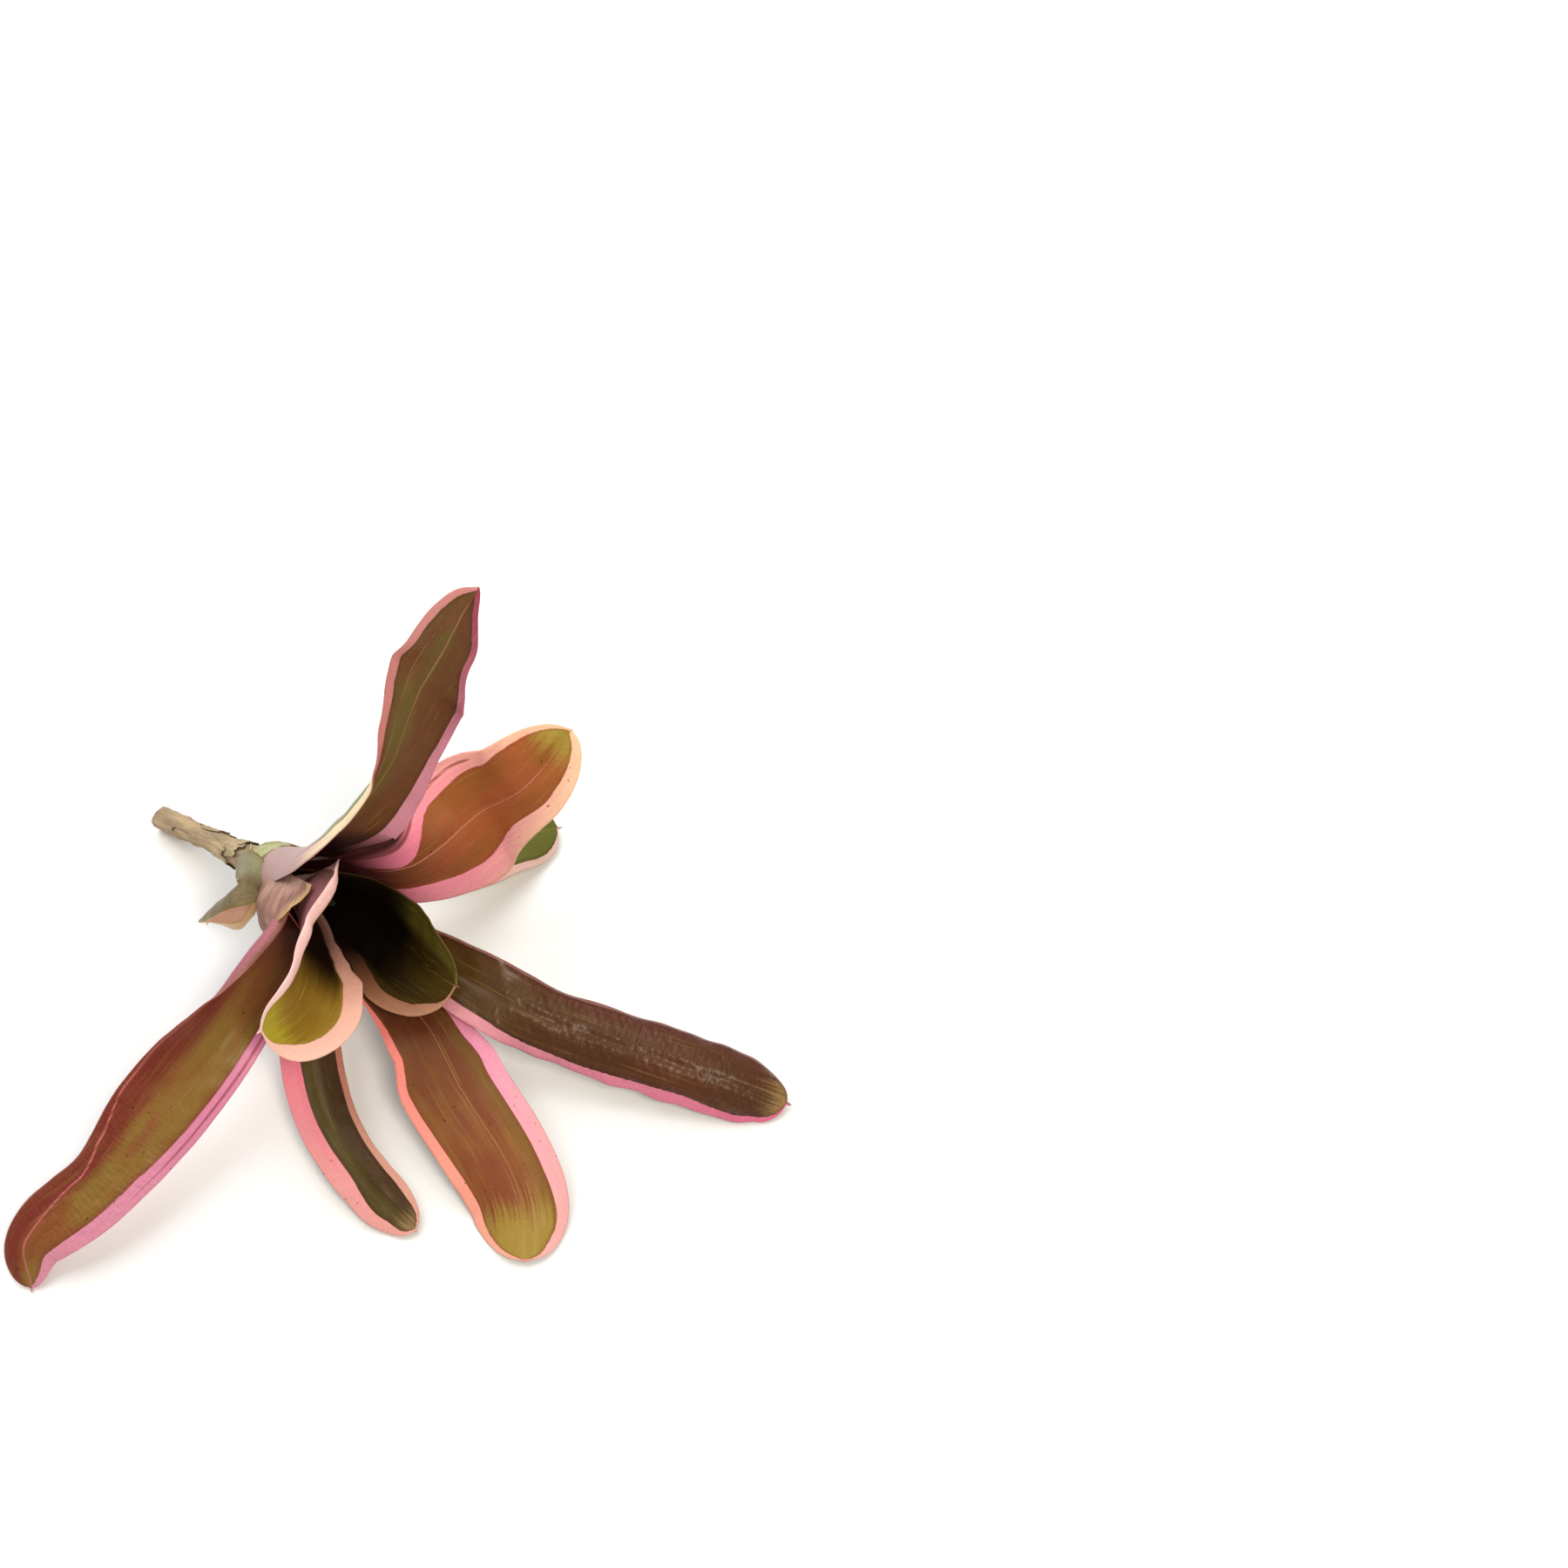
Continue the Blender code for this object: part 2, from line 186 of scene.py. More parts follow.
def spline(points, count):
    """Evenly spaced points on the natural cubic through the given points."""
    p = np.array(points, float)
    d = path_length(p, KNOT_POWER)
    m, h = len(p), np.diff(d)
    a, r = np.eye(m), np.zeros((m, 3))
    for i in range(1, m - 1):
        a[i, i - 1:i + 2] = h[i - 1], 2.0 * (h[i - 1] + h[i]), h[i]
        r[i] = 6.0 * ((p[i + 1] - p[i]) / h[i] - (p[i] - p[i - 1]) / h[i - 1])
    curve = np.linalg.solve(a, r)
    t = np.linspace(0.0, d[-1], SPLINE_SAMPLES)
    k = np.clip(np.searchsorted(d, t, side="right") - 1, 0, m - 2)
    hk = h[k][:, None]
    f, g = (d[k + 1] - t)[:, None] / hk, (t - d[k])[:, None] / hk
    q = f * p[k] + g * p[k + 1] + ((f ** 3 - f) * curve[k] + (g ** 3 - g) * curve[k + 1]) * hk ** 2 / 6.0
    s = path_length(q)
    even = np.linspace(0.0, s[-1], count)
    return np.stack([np.interp(even, s, q[:, i]) for i in range(3)], axis=1)


straight = spline([(0, 0, 0), (1, 0, 0), (4, 0, 0)], 5)
print("even steps along a straight line:", straight[:, 0].round(3))

# %% [markdown]
# ## Uneven surfaces
# Nothing on a plant is even. A few sine waves of different directions and lengths, added up, give a pattern that is
# smooth and never looks repeated. Each use has its own seed, so every run gives the same plant.

# %% A pattern of waves
def waves(x, y, seed, long, count=7):
    """A smooth uneven pattern between about -1 and 1, made of a few sine waves of about the given length."""
    rng = np.random.default_rng(seed)
    total = np.zeros(np.broadcast(x, y).shape)
    for _ in range(count):
        turn, size, shift = rng.uniform(0, 2 * math.pi), long * rng.uniform(0.7, 1.5), rng.uniform(0, 6.3)
        total += np.sin(2 * math.pi * (x * math.cos(turn) + y * math.sin(turn)) / size + shift)
    return total / math.sqrt(count * 2)


print("a test pattern:", waves(np.arange(3.0), 0.0, 1, 9.0).round(2))

# %% [markdown]
# ## The leaves, from the outside in
# Each leaf has one row. `azimuth` is where its sheath sits round the axis in degrees, `flare` how far along the axis
# it leaves the tube of sheaths, and `wrap` how many degrees each half goes round at its foot. `blade` lists points
# that the midrib passes after that. `face`, `curl`, `half` and `lip` are tables along the blade, from 0 where it
# leaves the tube to 1 at the tip: the way the upper side looks, how each half curves, how wide each half is, and how
# much its rim curls further. `point` is where the tip starts to close, `twist` and `trans` over how much of the blade
# it turns from the tube's direction and roundness to its own. Pairs are the left half, then the right half, as seen
# walking from foot to tip with the face up.
# The rows repeat the values that drove the CAD source, so that the fine leaves lie on the coarse ones. Only `wrap` or
# `half` differ in leaves 01, 02, 07 and 10: thin sheets can hug each other at their feet, while the solids for
# collisions have to keep a gap.

# %% The table of leaves
ROW_DEFAULTS = dict(point=0.84, twist=0.5, trans=0.3, lip=[(0, 0, 0)])
ROWS = [
    dict(name="leaf_01_basal", azimuth=45, flare=2.5, wrap=(48, 48), point=0.5, twist=0.3, trans=0.25,
         blade=[(-1, -14.8, 48.5), (-12.2, -15.2, 32), (-17.5, -14.4, 22)], face=[(0, -0.2, -0.3, -0.54)],
         curl=[(0, 0.17, 0.19)],
         half=[(0, 4, 6.5), (0.12, 2.4, 7.2), (0.3, 2.2, 8), (0.4, 7.5, 8.4), (0.5, 10, 8.4), (0.7, 11.5, 8)]),
    dict(name="leaf_02_back", azimuth=239, flare=14, wrap=(48, 90),
         blade=[(57, 11, 14), (74, 24, 8), (87, 31, 3)], face=[(0, 0, -0.3, 1)],
         curl=[(0.4, 0.05, 0.05), (1, -0.025, -0.025)], half=[(0, 5, 9), (0.3, 6, 9), (0.6, 11, 11)]),
    dict(name="leaf_03_short_front", azimuth=140, flare=16, wrap=(100, 100),
         blade=[(16.7, -51, 15.4), (24.6, -76.6, 12.3), (38, -95, 8.2), (52, -107, 2)],
         face=[(0, 0.2, -0.45, 0.9)], curl=[(0.2, 0.05, 0.055), (0.6, -0.047, -0.042), (1, -0.077, -0.077)],
         half=[(0, 9.4, 9.6), (0.5, 9.2, 9.3), (0.75, 8.4, 8.9)]),
    dict(name="leaf_04_upright", azimuth=338, flare=20, wrap=(120, 100), point=0.78,
         blade=[(29.8, -6, 66.8), (48.2, 1.8, 90.6), (58, 7.7, 114), (67, 10.4, 131), (73.8, 11.4, 146),
                (79.6, 14, 156)],
         face=[(0, 0.74, -0.58, 0.34), (0.35, 0.8, -0.4, 0.4), (0.75, 0.45, -0.55, 0.7)],
         curl=[(0, 0.08, 0.08), (0.15, 0.083, 0.07), (0.3, 0.085, 0.035), (0.6, 0.017, 0.062),
               (1, 0.032, 0.08)],
         half=[(0, 13.5, 17), (0.12, 12.4, 20), (0.24, 11.5, 19.5), (0.45, 10.5, 15.3), (0.6, 10, 14.9),
               (0.78, 13.8, 9), (1, 12.2, 4.4)],
         lip=[(0, 0.15, 0), (0.3, 0.4, 0), (0.5, 0, 0)]),
    dict(name="leaf_05_long_right", azimuth=205, flare=23, wrap=(100, 100),
         blade=[(61, -35.3, 29.8), (82, -46, 26.6), (103, -52.5, 20.8), (130, -60, 15.7), (150, -65, 9.2),
                (162, -66.7, 2.5)],
         face=[(0, 0, -0.35, 0.9)],
         curl=[(0.3, 0.047, 0.044), (0.5, -0.069, -0.063), (1, -0.084, -0.081)],
         half=[(0.05, 5, 3.5), (0.34, 10.3, 11.4), (0.5, 10.2, 12.8), (0.75, 11.8, 13.6)]),
    dict(name="leaf_06_long_left", azimuth=105, flare=25, wrap=(100, 100), point=0.76,
         blade=[(6, -44, 39.5), (-6, -65, 35), (-23, -85.5, 25.5), (-40, -104, 17), (-56.8, -115.5, 9.5),
                (-58.8, -124.3, 0.6)],
         face=[(0, 0.5, -0.3, 0.8), (0.5, 0.1, -0.5, 0.85), (1, 0, -0.4, 0.9)],
         curl=[(0.2, 0.04, 0.057), (0.5, -0.03, 0), (1, -0.04, -0.043)],
         half=[(0, 11, 20), (0.13, 11, 20), (0.28, 11.3, 15), (0.5, 12, 16), (0.72, 9.2, 13),
               (0.9, 9.5, 13.2)],
         lip=[(0, 0, 0.6), (0.15, 0, 0.6), (0.3, 0, 0)]),
    dict(name="leaf_07_upper_right", azimuth=290, flare=24, wrap=(110, 90), point=0.7, trans=0.15,
         blade=[(46.3, -9.5, 47), (68, 6.5, 52), (82, 6.8, 64.7), (98, 20, 78)], face=[(0, 0.3, -0.6, 0.7)],
         curl=[(0, -0.03, 0.03), (0.3, -0.035, -0.02), (0.65, -0.02, 0.03)],
         half=[(0, 8.5, 8.8), (0.22, 10.4, 14), (0.46, 20.5, 20), (0.75, 17, 13)]),
    dict(name="leaf_08_broad_front", azimuth=155, flare=30, wrap=(90, 90), twist=0.3, trans=0.25,
         blade=[(44, -40, 23), (54.8, -51.6, 21), (63.8, -67.3, 17), (74.4, -82.6, 14), (84, -101, 7.6),
                (85.5, -116.5, 2)],
         face=[(0, 0.1, -0.4, 0.9)], curl=[(0.2, 0.033, 0.031), (0.6, -0.017, -0.01), (1, -0.05, -0.06)],
         half=[(0.1, 2.5, 7.5), (0.38, 11, 14), (0.5, 14.4, 17.4)]),
    dict(name="leaf_09_cup_right", azimuth=200, flare=38, wrap=(90, 86), point=0.45, twist=0.8, trans=0.6,
         blade=[(51, -34.5, 32.5), (63.5, -44.5, 38)], face=[(0, 0.1, -0.6, 0.77)], curl=[(0, 0.06, 0.062)],
         half=[(0, 15.6, 13), (0.5, 15.7, 19)], lip=[(0, 0, 0), (0.2, -0.02, -0.02), (0.5, -0.1, -0.06)]),
    dict(name="leaf_10_cup_left", azimuth=100, flare=34, wrap=(90, 90), point=0.5, twist=1.0, trans=0.45,
         blade=[(20.5, -57, 51.3), (12.4, -68.6, 57)], face=[(0, 0.33, -0.69, 0.57)],
         curl=[(0.1, 0.067, 0.1), (0.45, 0.067, 0.085), (0.7, 0.06, 0.08), (1, 0.036, 0.077)],
         half=[(0, 11, 28), (0.07, 12.2, 31.5), (0.15, 14, 32), (0.35, 17.5, 23), (0.6, 19.5, 14)],
         lip=[(0, 0, -0.3), (0.2, 0, -0.45), (0.45, 0, -0.6), (0.7, 0, -0.5), (1, 0, -0.1)]),
]
LEAVES = [dict(ROW_DEFAULTS, **row) for row in ROWS]
print("leaves in the table:", len(LEAVES))

# %% [markdown]
# ## The tube of sheaths and the bend of a half
# Below, all the leaves are sheaths inside each other, in one tube that widens towards the cup. Each starts a little
# further along than the one outside it, on a slightly smaller circle. Higher up, each half of a leaf is bent away
# from the midrib: evenly by its curl, and more towards its rim by its lip.

# %% Radius of the tube, bend of a half
BASE_RADIUS, RING_STEP, NODE_PITCH = 10.0, 0.75, 1.6    # mm: first radius, then each next leaf's step in and along
TUBE_OPENS, TUBE_FLARES = 0.25, 0.004           # how the tube widens, per mm and per mm squared
BEND_STEPS, LIP_FROM = 40, 0.6                  # steps that a half is bent in, and where its lip starts


def tube_radius(s, order):
    """Radius s mm along the axis of the tube of sheaths, for the leaf with the given place in order."""
    foot = NODE_PITCH * order
    return BASE_RADIUS - RING_STEP * order + (TUBE_OPENS * (s - foot) + TUBE_FLARES * (s * s - foot * foot))


def bend_half(w, curl, lip, v):
    """How far across and how far up a half of width w reaches at the shares v, with its curl and its lip."""
    fine = np.linspace(0.0, 1.0, BEND_STEPS + 1)
    bend = w * (curl * fine + lip * np.maximum(0.0, fine - LIP_FROM) ** 2 / (2 * (1 - LIP_FROM)))
    out = []
    for d in (w * np.cos(bend), w * np.sin(bend)):
        out.append(np.interp(v, fine, np.concatenate([[0.0], np.cumsum((d[1:] + d[:-1]) / (2 * BEND_STEPS))])))
    return out


print("tube radius at the lowest leaf's foot and 20 mm on:", tube_radius(0.0, 0), tube_radius(20.0, 0))

# %% [markdown]
# ## From a row to a surface
# A leaf starts as a sheath in the tube, then leaves it and opens into a blade. Extruding and bending by hand can't
# give ten different leaves that each lie exactly on their CAD node, so this function works out the places of the
# vertices, and the grid primitive is laid over them.

# %% The middle surface of a leaf
SMALLEST_RADIUS = 3.0                           # mm, the tightest a sheath may curl
FACE_TURN_OVER, LIP_OVER = 0.12, 0.08           # shares of the blade over which face and lip come in
TIP_FALL, TIP_ROUND, LEAST_HALF = 2.2, 1.9, 0.5     # the two powers of the tip's outline, and its least half in mm


def leaf_surface(leaf, order, rows, cols):
    """Points from foot to tip and left to right, each row's share of the blade, and its two half widths."""
    foot = NODE_PITCH * order

    def on_tube(s):
        return wrapped(ROSETTE, s, tube_radius(s, order), math.radians(leaf["azimuth"]))

    flare = on_tube(leaf["flare"])
    mid = spline([on_tube(foot), on_tube((foot + leaf["flare"]) / 2), flare] + leaf["blade"], rows + 1)
    u = np.linspace(0.0, 1.0, rows + 1)
    at_flare = int(np.argmin(np.linalg.norm(mid - flare, axis=1)))
    t = np.clip((u - u[at_flare]) / (1.0 - u[at_flare]), 0.0, 1.0)
    sheath = u <= u[at_flare]

    # across and face directions: round the axis in the sheath, then turning to the blade's own
    along = unit(np.gradient(mid, axis=0))
    arm = mid - CROWN - ((mid - CROWN) @ AXIS)[:, None] * AXIS
    radius = np.linalg.norm(arm, axis=1)
    across = np.cross(unit(arm), AXIS)
    across[~sheath] = across[at_flare]
    turn = smooth(t / leaf["twist"])[:, None]
    across = across * (1.0 - turn) + unit(np.cross(along, unit(ease(t, leaf["face"])))) * turn
    across = unit(across - np.sum(across * along, axis=1)[:, None] * along)
    lift = smooth(t / FACE_TURN_OVER)[:, None] * ~sheath[:, None]
    normal = unit(-unit(arm) * (1.0 - lift) + np.cross(across, along) * lift)

    # curvature and width of each half
    free = smooth(t / leaf["trans"])[:, None]
    curl = (1.0 - free) / np.maximum(radius, SMALLEST_RADIUS)[:, None] + free * ease(t, leaf["curl"])
    half = ease(t, leaf["half"])
    share = (u / u[at_flare])[:, None]
    wrap = np.radians(np.array(leaf["wrap"], float)) * (1.0 - share) + half[at_flare] / radius[at_flare] * share
    half = np.where(sheath[:, None], radius[:, None] * wrap, half)
    closing = np.clip((t - leaf["point"]) / (1.0 - leaf["point"]), 0.0, 1.0)
    half = np.maximum(half * (1.0 - closing ** TIP_FALL)[:, None] ** (1 / TIP_ROUND), LEAST_HALF)
    lip = ease(t, leaf["lip"]) * smooth(t / LIP_OVER)[:, None]

    grid = np.zeros((rows + 1, cols + 1, 3))
    v = np.linspace(-1.0, 1.0, cols + 1)
    for i in range(rows + 1):
        for side, sign in ((0, -1.0), (1, 1.0)):
            m = v * sign >= 0.0
            a, b = bend_half(half[i, side], curl[i, side], lip[i, side], abs(v[m]))
            grid[i, m] = mid[i] + sign * a[:, None] * across[i] + b[:, None] * normal[i]
    return grid, t, half


tested = leaf_surface(LEAVES[0], 0, 40, 8)
print("widest half of the lowest leaf in mm:", round(float(tested[2].max()), 1))

# %% [markdown]
# ## The fine things on a leaf
# On top of the shape of the row come the things that are too fine for a solid for collisions: an edge that waves, a
# fold along the midrib, slow swells, cross wrinkles where the leaf has dried a little, and a short hard point. They
# are moves along the surface's own direction, so they are real shape and not only shading.

# %% Waves, crease, wrinkles and hard point
ROW_STEP, LEAF_COLS, POINT_ROWS = 0.65, 44, 5   # mm between rows, columns over the width, rows of the hard point
HIDDEN_LENGTH = 45.0                            # mm that the sheath adds to the blade
EDGE_WAVE_LONG, EDGE_SEEDS = (17.0, 15.0), (0, 50)      # mm, left and right
BLADE_OVER, EDGE_POWER = 0.25, 5                # share of the blade over which all comes in; narrows the waving edge
FOLD_DEEP, FOLD_WIDE = 0.35, 1.3                # mm, along the midrib
SWELL_HIGH, SWELL_LONG = 0.16, 9.0              # mm
SWELL_SEED, WRINKLE_SEED = 20, 80
WRINKLE_HIGH, WRINKLE_LONG, WRINKLE_ACROSS = 0.09, 1.9, 0.55    # mm, mm; under 1 draws them out across the leaf
POINT_RISE, POINT_CLOSES = 0.25, 0.85           # rise for its length, and the share of the width that is drawn in
LEAST_HEIGHT = 0.5                              # mm, so that a leaf lies on the table and not in it


def fine_leaf(leaf, order, look):
    """The surface with its fine things, and for each vertex: t, half width, mm across, mm along, place across."""
    length = sum(math.dist(a, b) for a, b in zip(leaf["blade"], leaf["blade"][1:])) + HIDDEN_LENGTH
    grid, t, half = leaf_surface(leaf, order, int(length / ROW_STEP), LEAF_COLS)
    v = np.linspace(-1.0, 1.0, LEAF_COLS + 1)[None, :]
    wide = np.where(v < 0, half[:, :1], half[:, 1:])
    across = v * wide
    mid = grid[:, LEAF_COLS // 2]
    s = path_length(mid)[:, None]

    facing = unit(np.cross(np.gradient(grid, axis=1), np.gradient(grid, axis=0)))
    blade = smooth(t / BLADE_OVER)[:, None]
    edge = np.abs(v) ** EDGE_POWER * blade * smooth((1.02 - t[:, None]) / 0.08)
    left, right = (waves(s, 0.0, order + seed, long, 4) for seed, long in zip(EDGE_SEEDS, EDGE_WAVE_LONG))
    lift = look["wavy"] * edge * np.where(v < 0, left, right)
    lift += -FOLD_DEEP * np.exp(-(across / FOLD_WIDE) ** 2) * blade
    lift += SWELL_HIGH * waves(across, s, order + SWELL_SEED, SWELL_LONG, 9) * blade
    rough = look["wrinkled"] * smooth((1.0 - np.abs(v)) / 0.25)
    creases = waves(across * WRINKLE_ACROSS, s, order + WRINKLE_SEED, WRINKLE_LONG, 12)
    lift += WRINKLE_HIGH * rough * creases * ease(t, look["wrinkle_at"])
    grid = grid + lift[:, :, None] * facing

    # the hard point: a few more rows that draw in to almost nothing
    ahead = unit(mid[-1] - mid[-4])
    up = facing[-1, LEAF_COLS // 2] * POINT_RISE
    rim = grid[-1] - mid[-1]
    steps = np.linspace(0, 1, POINT_ROWS + 1)[1:]
    tips = [mid[-1] + look["thorn"] * (ahead * k + up * k * k) + rim * (1 - POINT_CLOSES * k) for k in steps]
    grid = np.concatenate([grid, np.array(tips)])
    grid[..., 2] = np.maximum(grid[..., 2], LEAST_HEIGHT)

    def pad(a):
        return np.concatenate([a, np.repeat(a[-1:], POINT_ROWS, axis=0)])

    return grid, pad(t), pad(wide), pad(across), pad(np.broadcast_to(s, across.shape)), v


print("rows for a blade of 100 mm:", int((100 + HIDDEN_LENGTH) / ROW_STEP))

# %% [markdown]
# ## Colour bands as numbers on the mesh
# The edges of these leaves are pink or cream and the middle is olive to red-brown. Where one meets the other is a
# clean line that follows the leaf, so each vertex carries how many millimetres it lies inside each band. A material
# can turn such a number into a sharp or a soft edge, whatever the leaf's curve does, which a pattern on Object
# coordinates couldn't.
# Three attributes are written: the place on the leaf, the bands with the two thin lines, and the tone (the painted
# shade of the cup, the coloured tip, and the blush of one half).

# %% Write the numbers that the materials read
ELSEWHERE = 99.0                                # mm: what a half says of the band on the other half
BLUSH_OVER, LEAST_STRENGTH = 0.35, 0.004        # share of the width that a blush fades over; where a line has ended


def mark_leaf(ob, look, pick, t, wide, across, s, v):
    def table(key):
        return ease(t, look[key])

    left = table("left")[:, :1] - np.where(v < 0, across + wide, ELSEWHERE)
    right = table("right")[:, :1] - np.where(v > 0, wide - across, ELSEWHERE)
    # dividing by its strength lets a line thin out to nothing
    line, line2 = (np.abs(v - table(key)[:, :1]) * wide / np.maximum(table(key)[:, 1:], LEAST_STRENGTH)
                   for key in ("line", "line2"))
    bands = np.stack([left, right, line, line2], axis=2)
    t = t[:, None] * np.ones_like(v)
    # painted shade of the cup: near 1 deep in the cup, fading out along the blade
    deep = t + ease(v[0], look["dark_by_side"])[:, 0][None, :]
    dark = 1.0 - smooth((deep - look["dark"][0]) / (look["dark"][1] - look["dark"][0]))
    tip = smooth((t - look["tip_at"]) / look["tip_run"])
    blush = smooth((v * look["blush_side"] - look["blush_from"]) / BLUSH_OVER)
    write_attribute(ob, "leaf_bands", "FLOAT_COLOR", bands[pick])
    write_attribute(ob, "leaf_place", "FLOAT_VECTOR", triple(across, s, t)[pick])
    write_attribute(ob, "leaf_tone", "FLOAT_VECTOR", triple(dark, tip, blush)[pick])


print("numbers on each vertex of a leaf:", 4 + 3 + 3)

# %% [markdown]
# ## How each leaf is coloured
# No two leaves of this plant look the same: the outer ones are dull olive and brown, the upper ones glow orange, and
# the cup is nearly black inside, which is painted shade, partly the real dark of wet sheath bases. So each leaf has a
# `look`, and what it doesn't say is as in LOOK_DEFAULTS.
# Tables run along the blade as (t, value, ...). Widths are in millimetres. A place across the leaf runs from -1 at
# the left edge over 0 at the midrib to 1 at the right edge. `left` and `right` are the widths of the two edge bands.
# Each band has an inner colour, near the cup, and an outer one, near the tip. Colours are written as #rrggbb.

# %% What a look can say
BAND_TURN = (0.25, 1.2)                         # a band's inner colour turns to the outer one over these t
LOOK_DEFAULTS = dict(
    line=((0, 0, 1),), line2=((0, 0, 0),),      # the two thin lines: (t, place across, strength)
    line_width=0.5, line2_width=0.0,            # mm
    # the next two rows lay painted shade deep in the cup, partly the real dark of wet sheath bases
    dark=(-0.2, -0.1),                          # the t where the dark of the cup starts to end, and where it has
    dark_by_side=((-1, 0), (1, 0)),             # (place across, what is added to t there); more is less dark
    tip_at=0.93, tip_run=0.12,                  # the t where the tip's colour starts, and over how much it comes in
    blush_side=1, blush_from=3.0,               # which half blushes, and from how far out; over 1 is nowhere
    foot_reach=0.3,                             # the t where the foot's colour has faded out
    wavy=0.5,                                   # mm that the edges wave
    wrinkled=0.3, wrinkle_at=((0, 0), (0.3, 1)),    # how strong the cross wrinkles are, and where
    shine=0.0,                                  # gloss of the face; below 0 it is duller than the other leaves
    thorn=1.5,                                  # mm, the hard point
    turn=BAND_TURN, back={})                    # as BAND_TURN but for the back, and the colours of the back
# the near-black #120a05 is painted shade for deep in the cup, partly the real dark of wet sheath bases, and also the
# colour of the dark specks
FACE_DEFAULTS = {"Flesh": "#8a6430", "Patches": "#84482a", "Blush": "#7d4125", "Foot": "#5f2a25", "Tip": "#9c8a3a",
                 "Depth": "#120a05", "Left inner": "#e2889a", "Left outer": "#e8a08e", "Right inner": "#e2889a",
                 "Right outer": "#e8a08e", "Line": "#c98a78", "Second": "#8c4a40", "Seam": "#5e2f1e"}
BACK_DEFAULTS = {"Flesh": "#8f8f58", "Patches": "#86805c", "Blush": "#86805c", "Foot": "#a58c88", "Tip": "#8f8f58",
                 "Left inner": "#c99a98", "Left outer": "#d9b48f", "Right inner": "#c99a98",
                 "Right outer": "#d9b48f", "Line": "#9c8a68", "Second": "#8c6a60", "Seam": "#7a6a50"}
LOOKS = {}


def new_look(**said):
    return dict(LOOK_DEFAULTS, **said)


print("colours of a face:", ", ".join(FACE_DEFAULTS))

# %% [markdown]
# ## The low leaves
# The lowest leaf is small and turned over, so that its dull back shows, and of the one behind the plant only the end
# shows. The short one in front is narrow and dark, with one pink band that is nearly as wide as its green.

# %% Looks of the low leaves
LOOKS["leaf_01_basal"] = new_look(
    left=[(0, 0.1), (0.34, 0.2), (0.5, 2.4), (1, 2.0)], right=[(0, 0.6), (1, 0.8)], line_width=0.0,
    foot_reach=0.2, wavy=0.2,
    face={"Flesh": "#dfae90", "Patches": "#d6a187", "Foot": "#a88068", "Tip": "#d8b890", "Seam": "#b8903a",
          "Left inner": "#e0bf86", "Left outer": "#e9cfa8", "Right inner": "#e0c896", "Right outer": "#e8d4b0"},
    back={"Flesh": "#747048", "Patches": "#706245", "Foot": "#8c866a", "Tip": "#7c6a38",
          "Left inner": "#c9bf84", "Right inner": "#7a6a3a", "Left outer": "#dcd09c", "Right outer": "#8a7a44"})
LOOKS["leaf_02_back"] = new_look(
    left=[(0, 1.5), (1, 1.5)], right=[(0, 3), (0.5, 3.4), (1, 2)], line_width=0.3, tip_at=0.2,
    face={"Flesh": "#585726", "Patches": "#4c4420", "Tip": "#5f622a", "Right inner": "#c9948a",
          "Right outer": "#d9b8ac", "Left inner": "#8a6a48", "Left outer": "#a08a60", "Seam": "#453020",
          "Line": "#76703c"})
LOOKS["leaf_03_short_front"] = new_look(
    left=[(0, 1.8), (0.5, 2.0), (0.9, 2.4), (1, 1.2)],
    right=[(0, 5), (0.4, 6), (0.75, 6.3), (0.92, 4), (1, 1.5)], line_width=0.0, tip_at=0.9, blush_side=-1,
    blush_from=0.0, foot_reach=0.25, wavy=0.35, wrinkled=0.35, shine=0.1, thorn=0.8,
    face={"Flesh": "#52441e", "Patches": "#443414", "Blush": "#432c1a", "Foot": "#3f3c18", "Tip": "#8a6e48",
          "Left inner": "#b4705e", "Left outer": "#e0a692", "Right inner": "#e8748a", "Right outer": "#eaa79c",
          "Line": "#6f6a3c", "Seam": "#40261a"})
print("looks so far:", len(LOOKS))

# %% [markdown]
# ## The two leaves that stand up
# The tall one shows its face and, at its foot, much of its back, whose cream band turns to pink over a short way. The
# one to its right is the brightest leaf: orange flesh between wide pink bands that end in cream.

# %% Looks of the standing leaves
LOOKS["leaf_04_upright"] = new_look(
    left=[(0, 6.0), (0.1, 5.0), (0.2, 2.6), (0.35, 2.0), (0.6, 2.4), (0.9, 3.0), (1, 2.6)],
    right=[(0, 6), (0.25, 5.0), (0.5, 2.6), (0.8, 1.8), (1, 1.4)],
    line=[(0, 0.05, 1), (0.9, 0, 0.9), (1, 0, 0)], line_width=0.4,
    line2=[(0, -0.5, 0.4), (0.35, -0.5, 1), (0.8, -0.45, 0.8), (1, -0.2, 0)], line2_width=0.3,
    # painted shade in the tube of sheaths: dark blackens its sheath and foot in the dark wine shade colour
    dark=(0.03, 0.18), tip_at=1.2, blush_from=-0.05, foot_reach=0.2, wavy=0.35, thorn=0.3, turn=(0.1, 0.24),
    face={"Depth": "#2c1014", "Flesh": "#66561f", "Patches": "#6e4222", "Blush": "#6c4024", "Foot": "#521f2a",
          "Line": "#a0704e", "Second": "#8a6c44", "Left inner": "#c9766e", "Left outer": "#d9918c",
          "Right inner": "#dc92a2", "Right outer": "#a0344f", "Seam": "#4a2c1c"},
    back={"Line": "#a09a60", "Flesh": "#8f9058", "Patches": "#85885a", "Foot": "#b3928e",
          "Left inner": "#d0909a", "Left outer": "#efdcb6", "Right inner": "#c99090", "Right outer": "#d9a89c"})
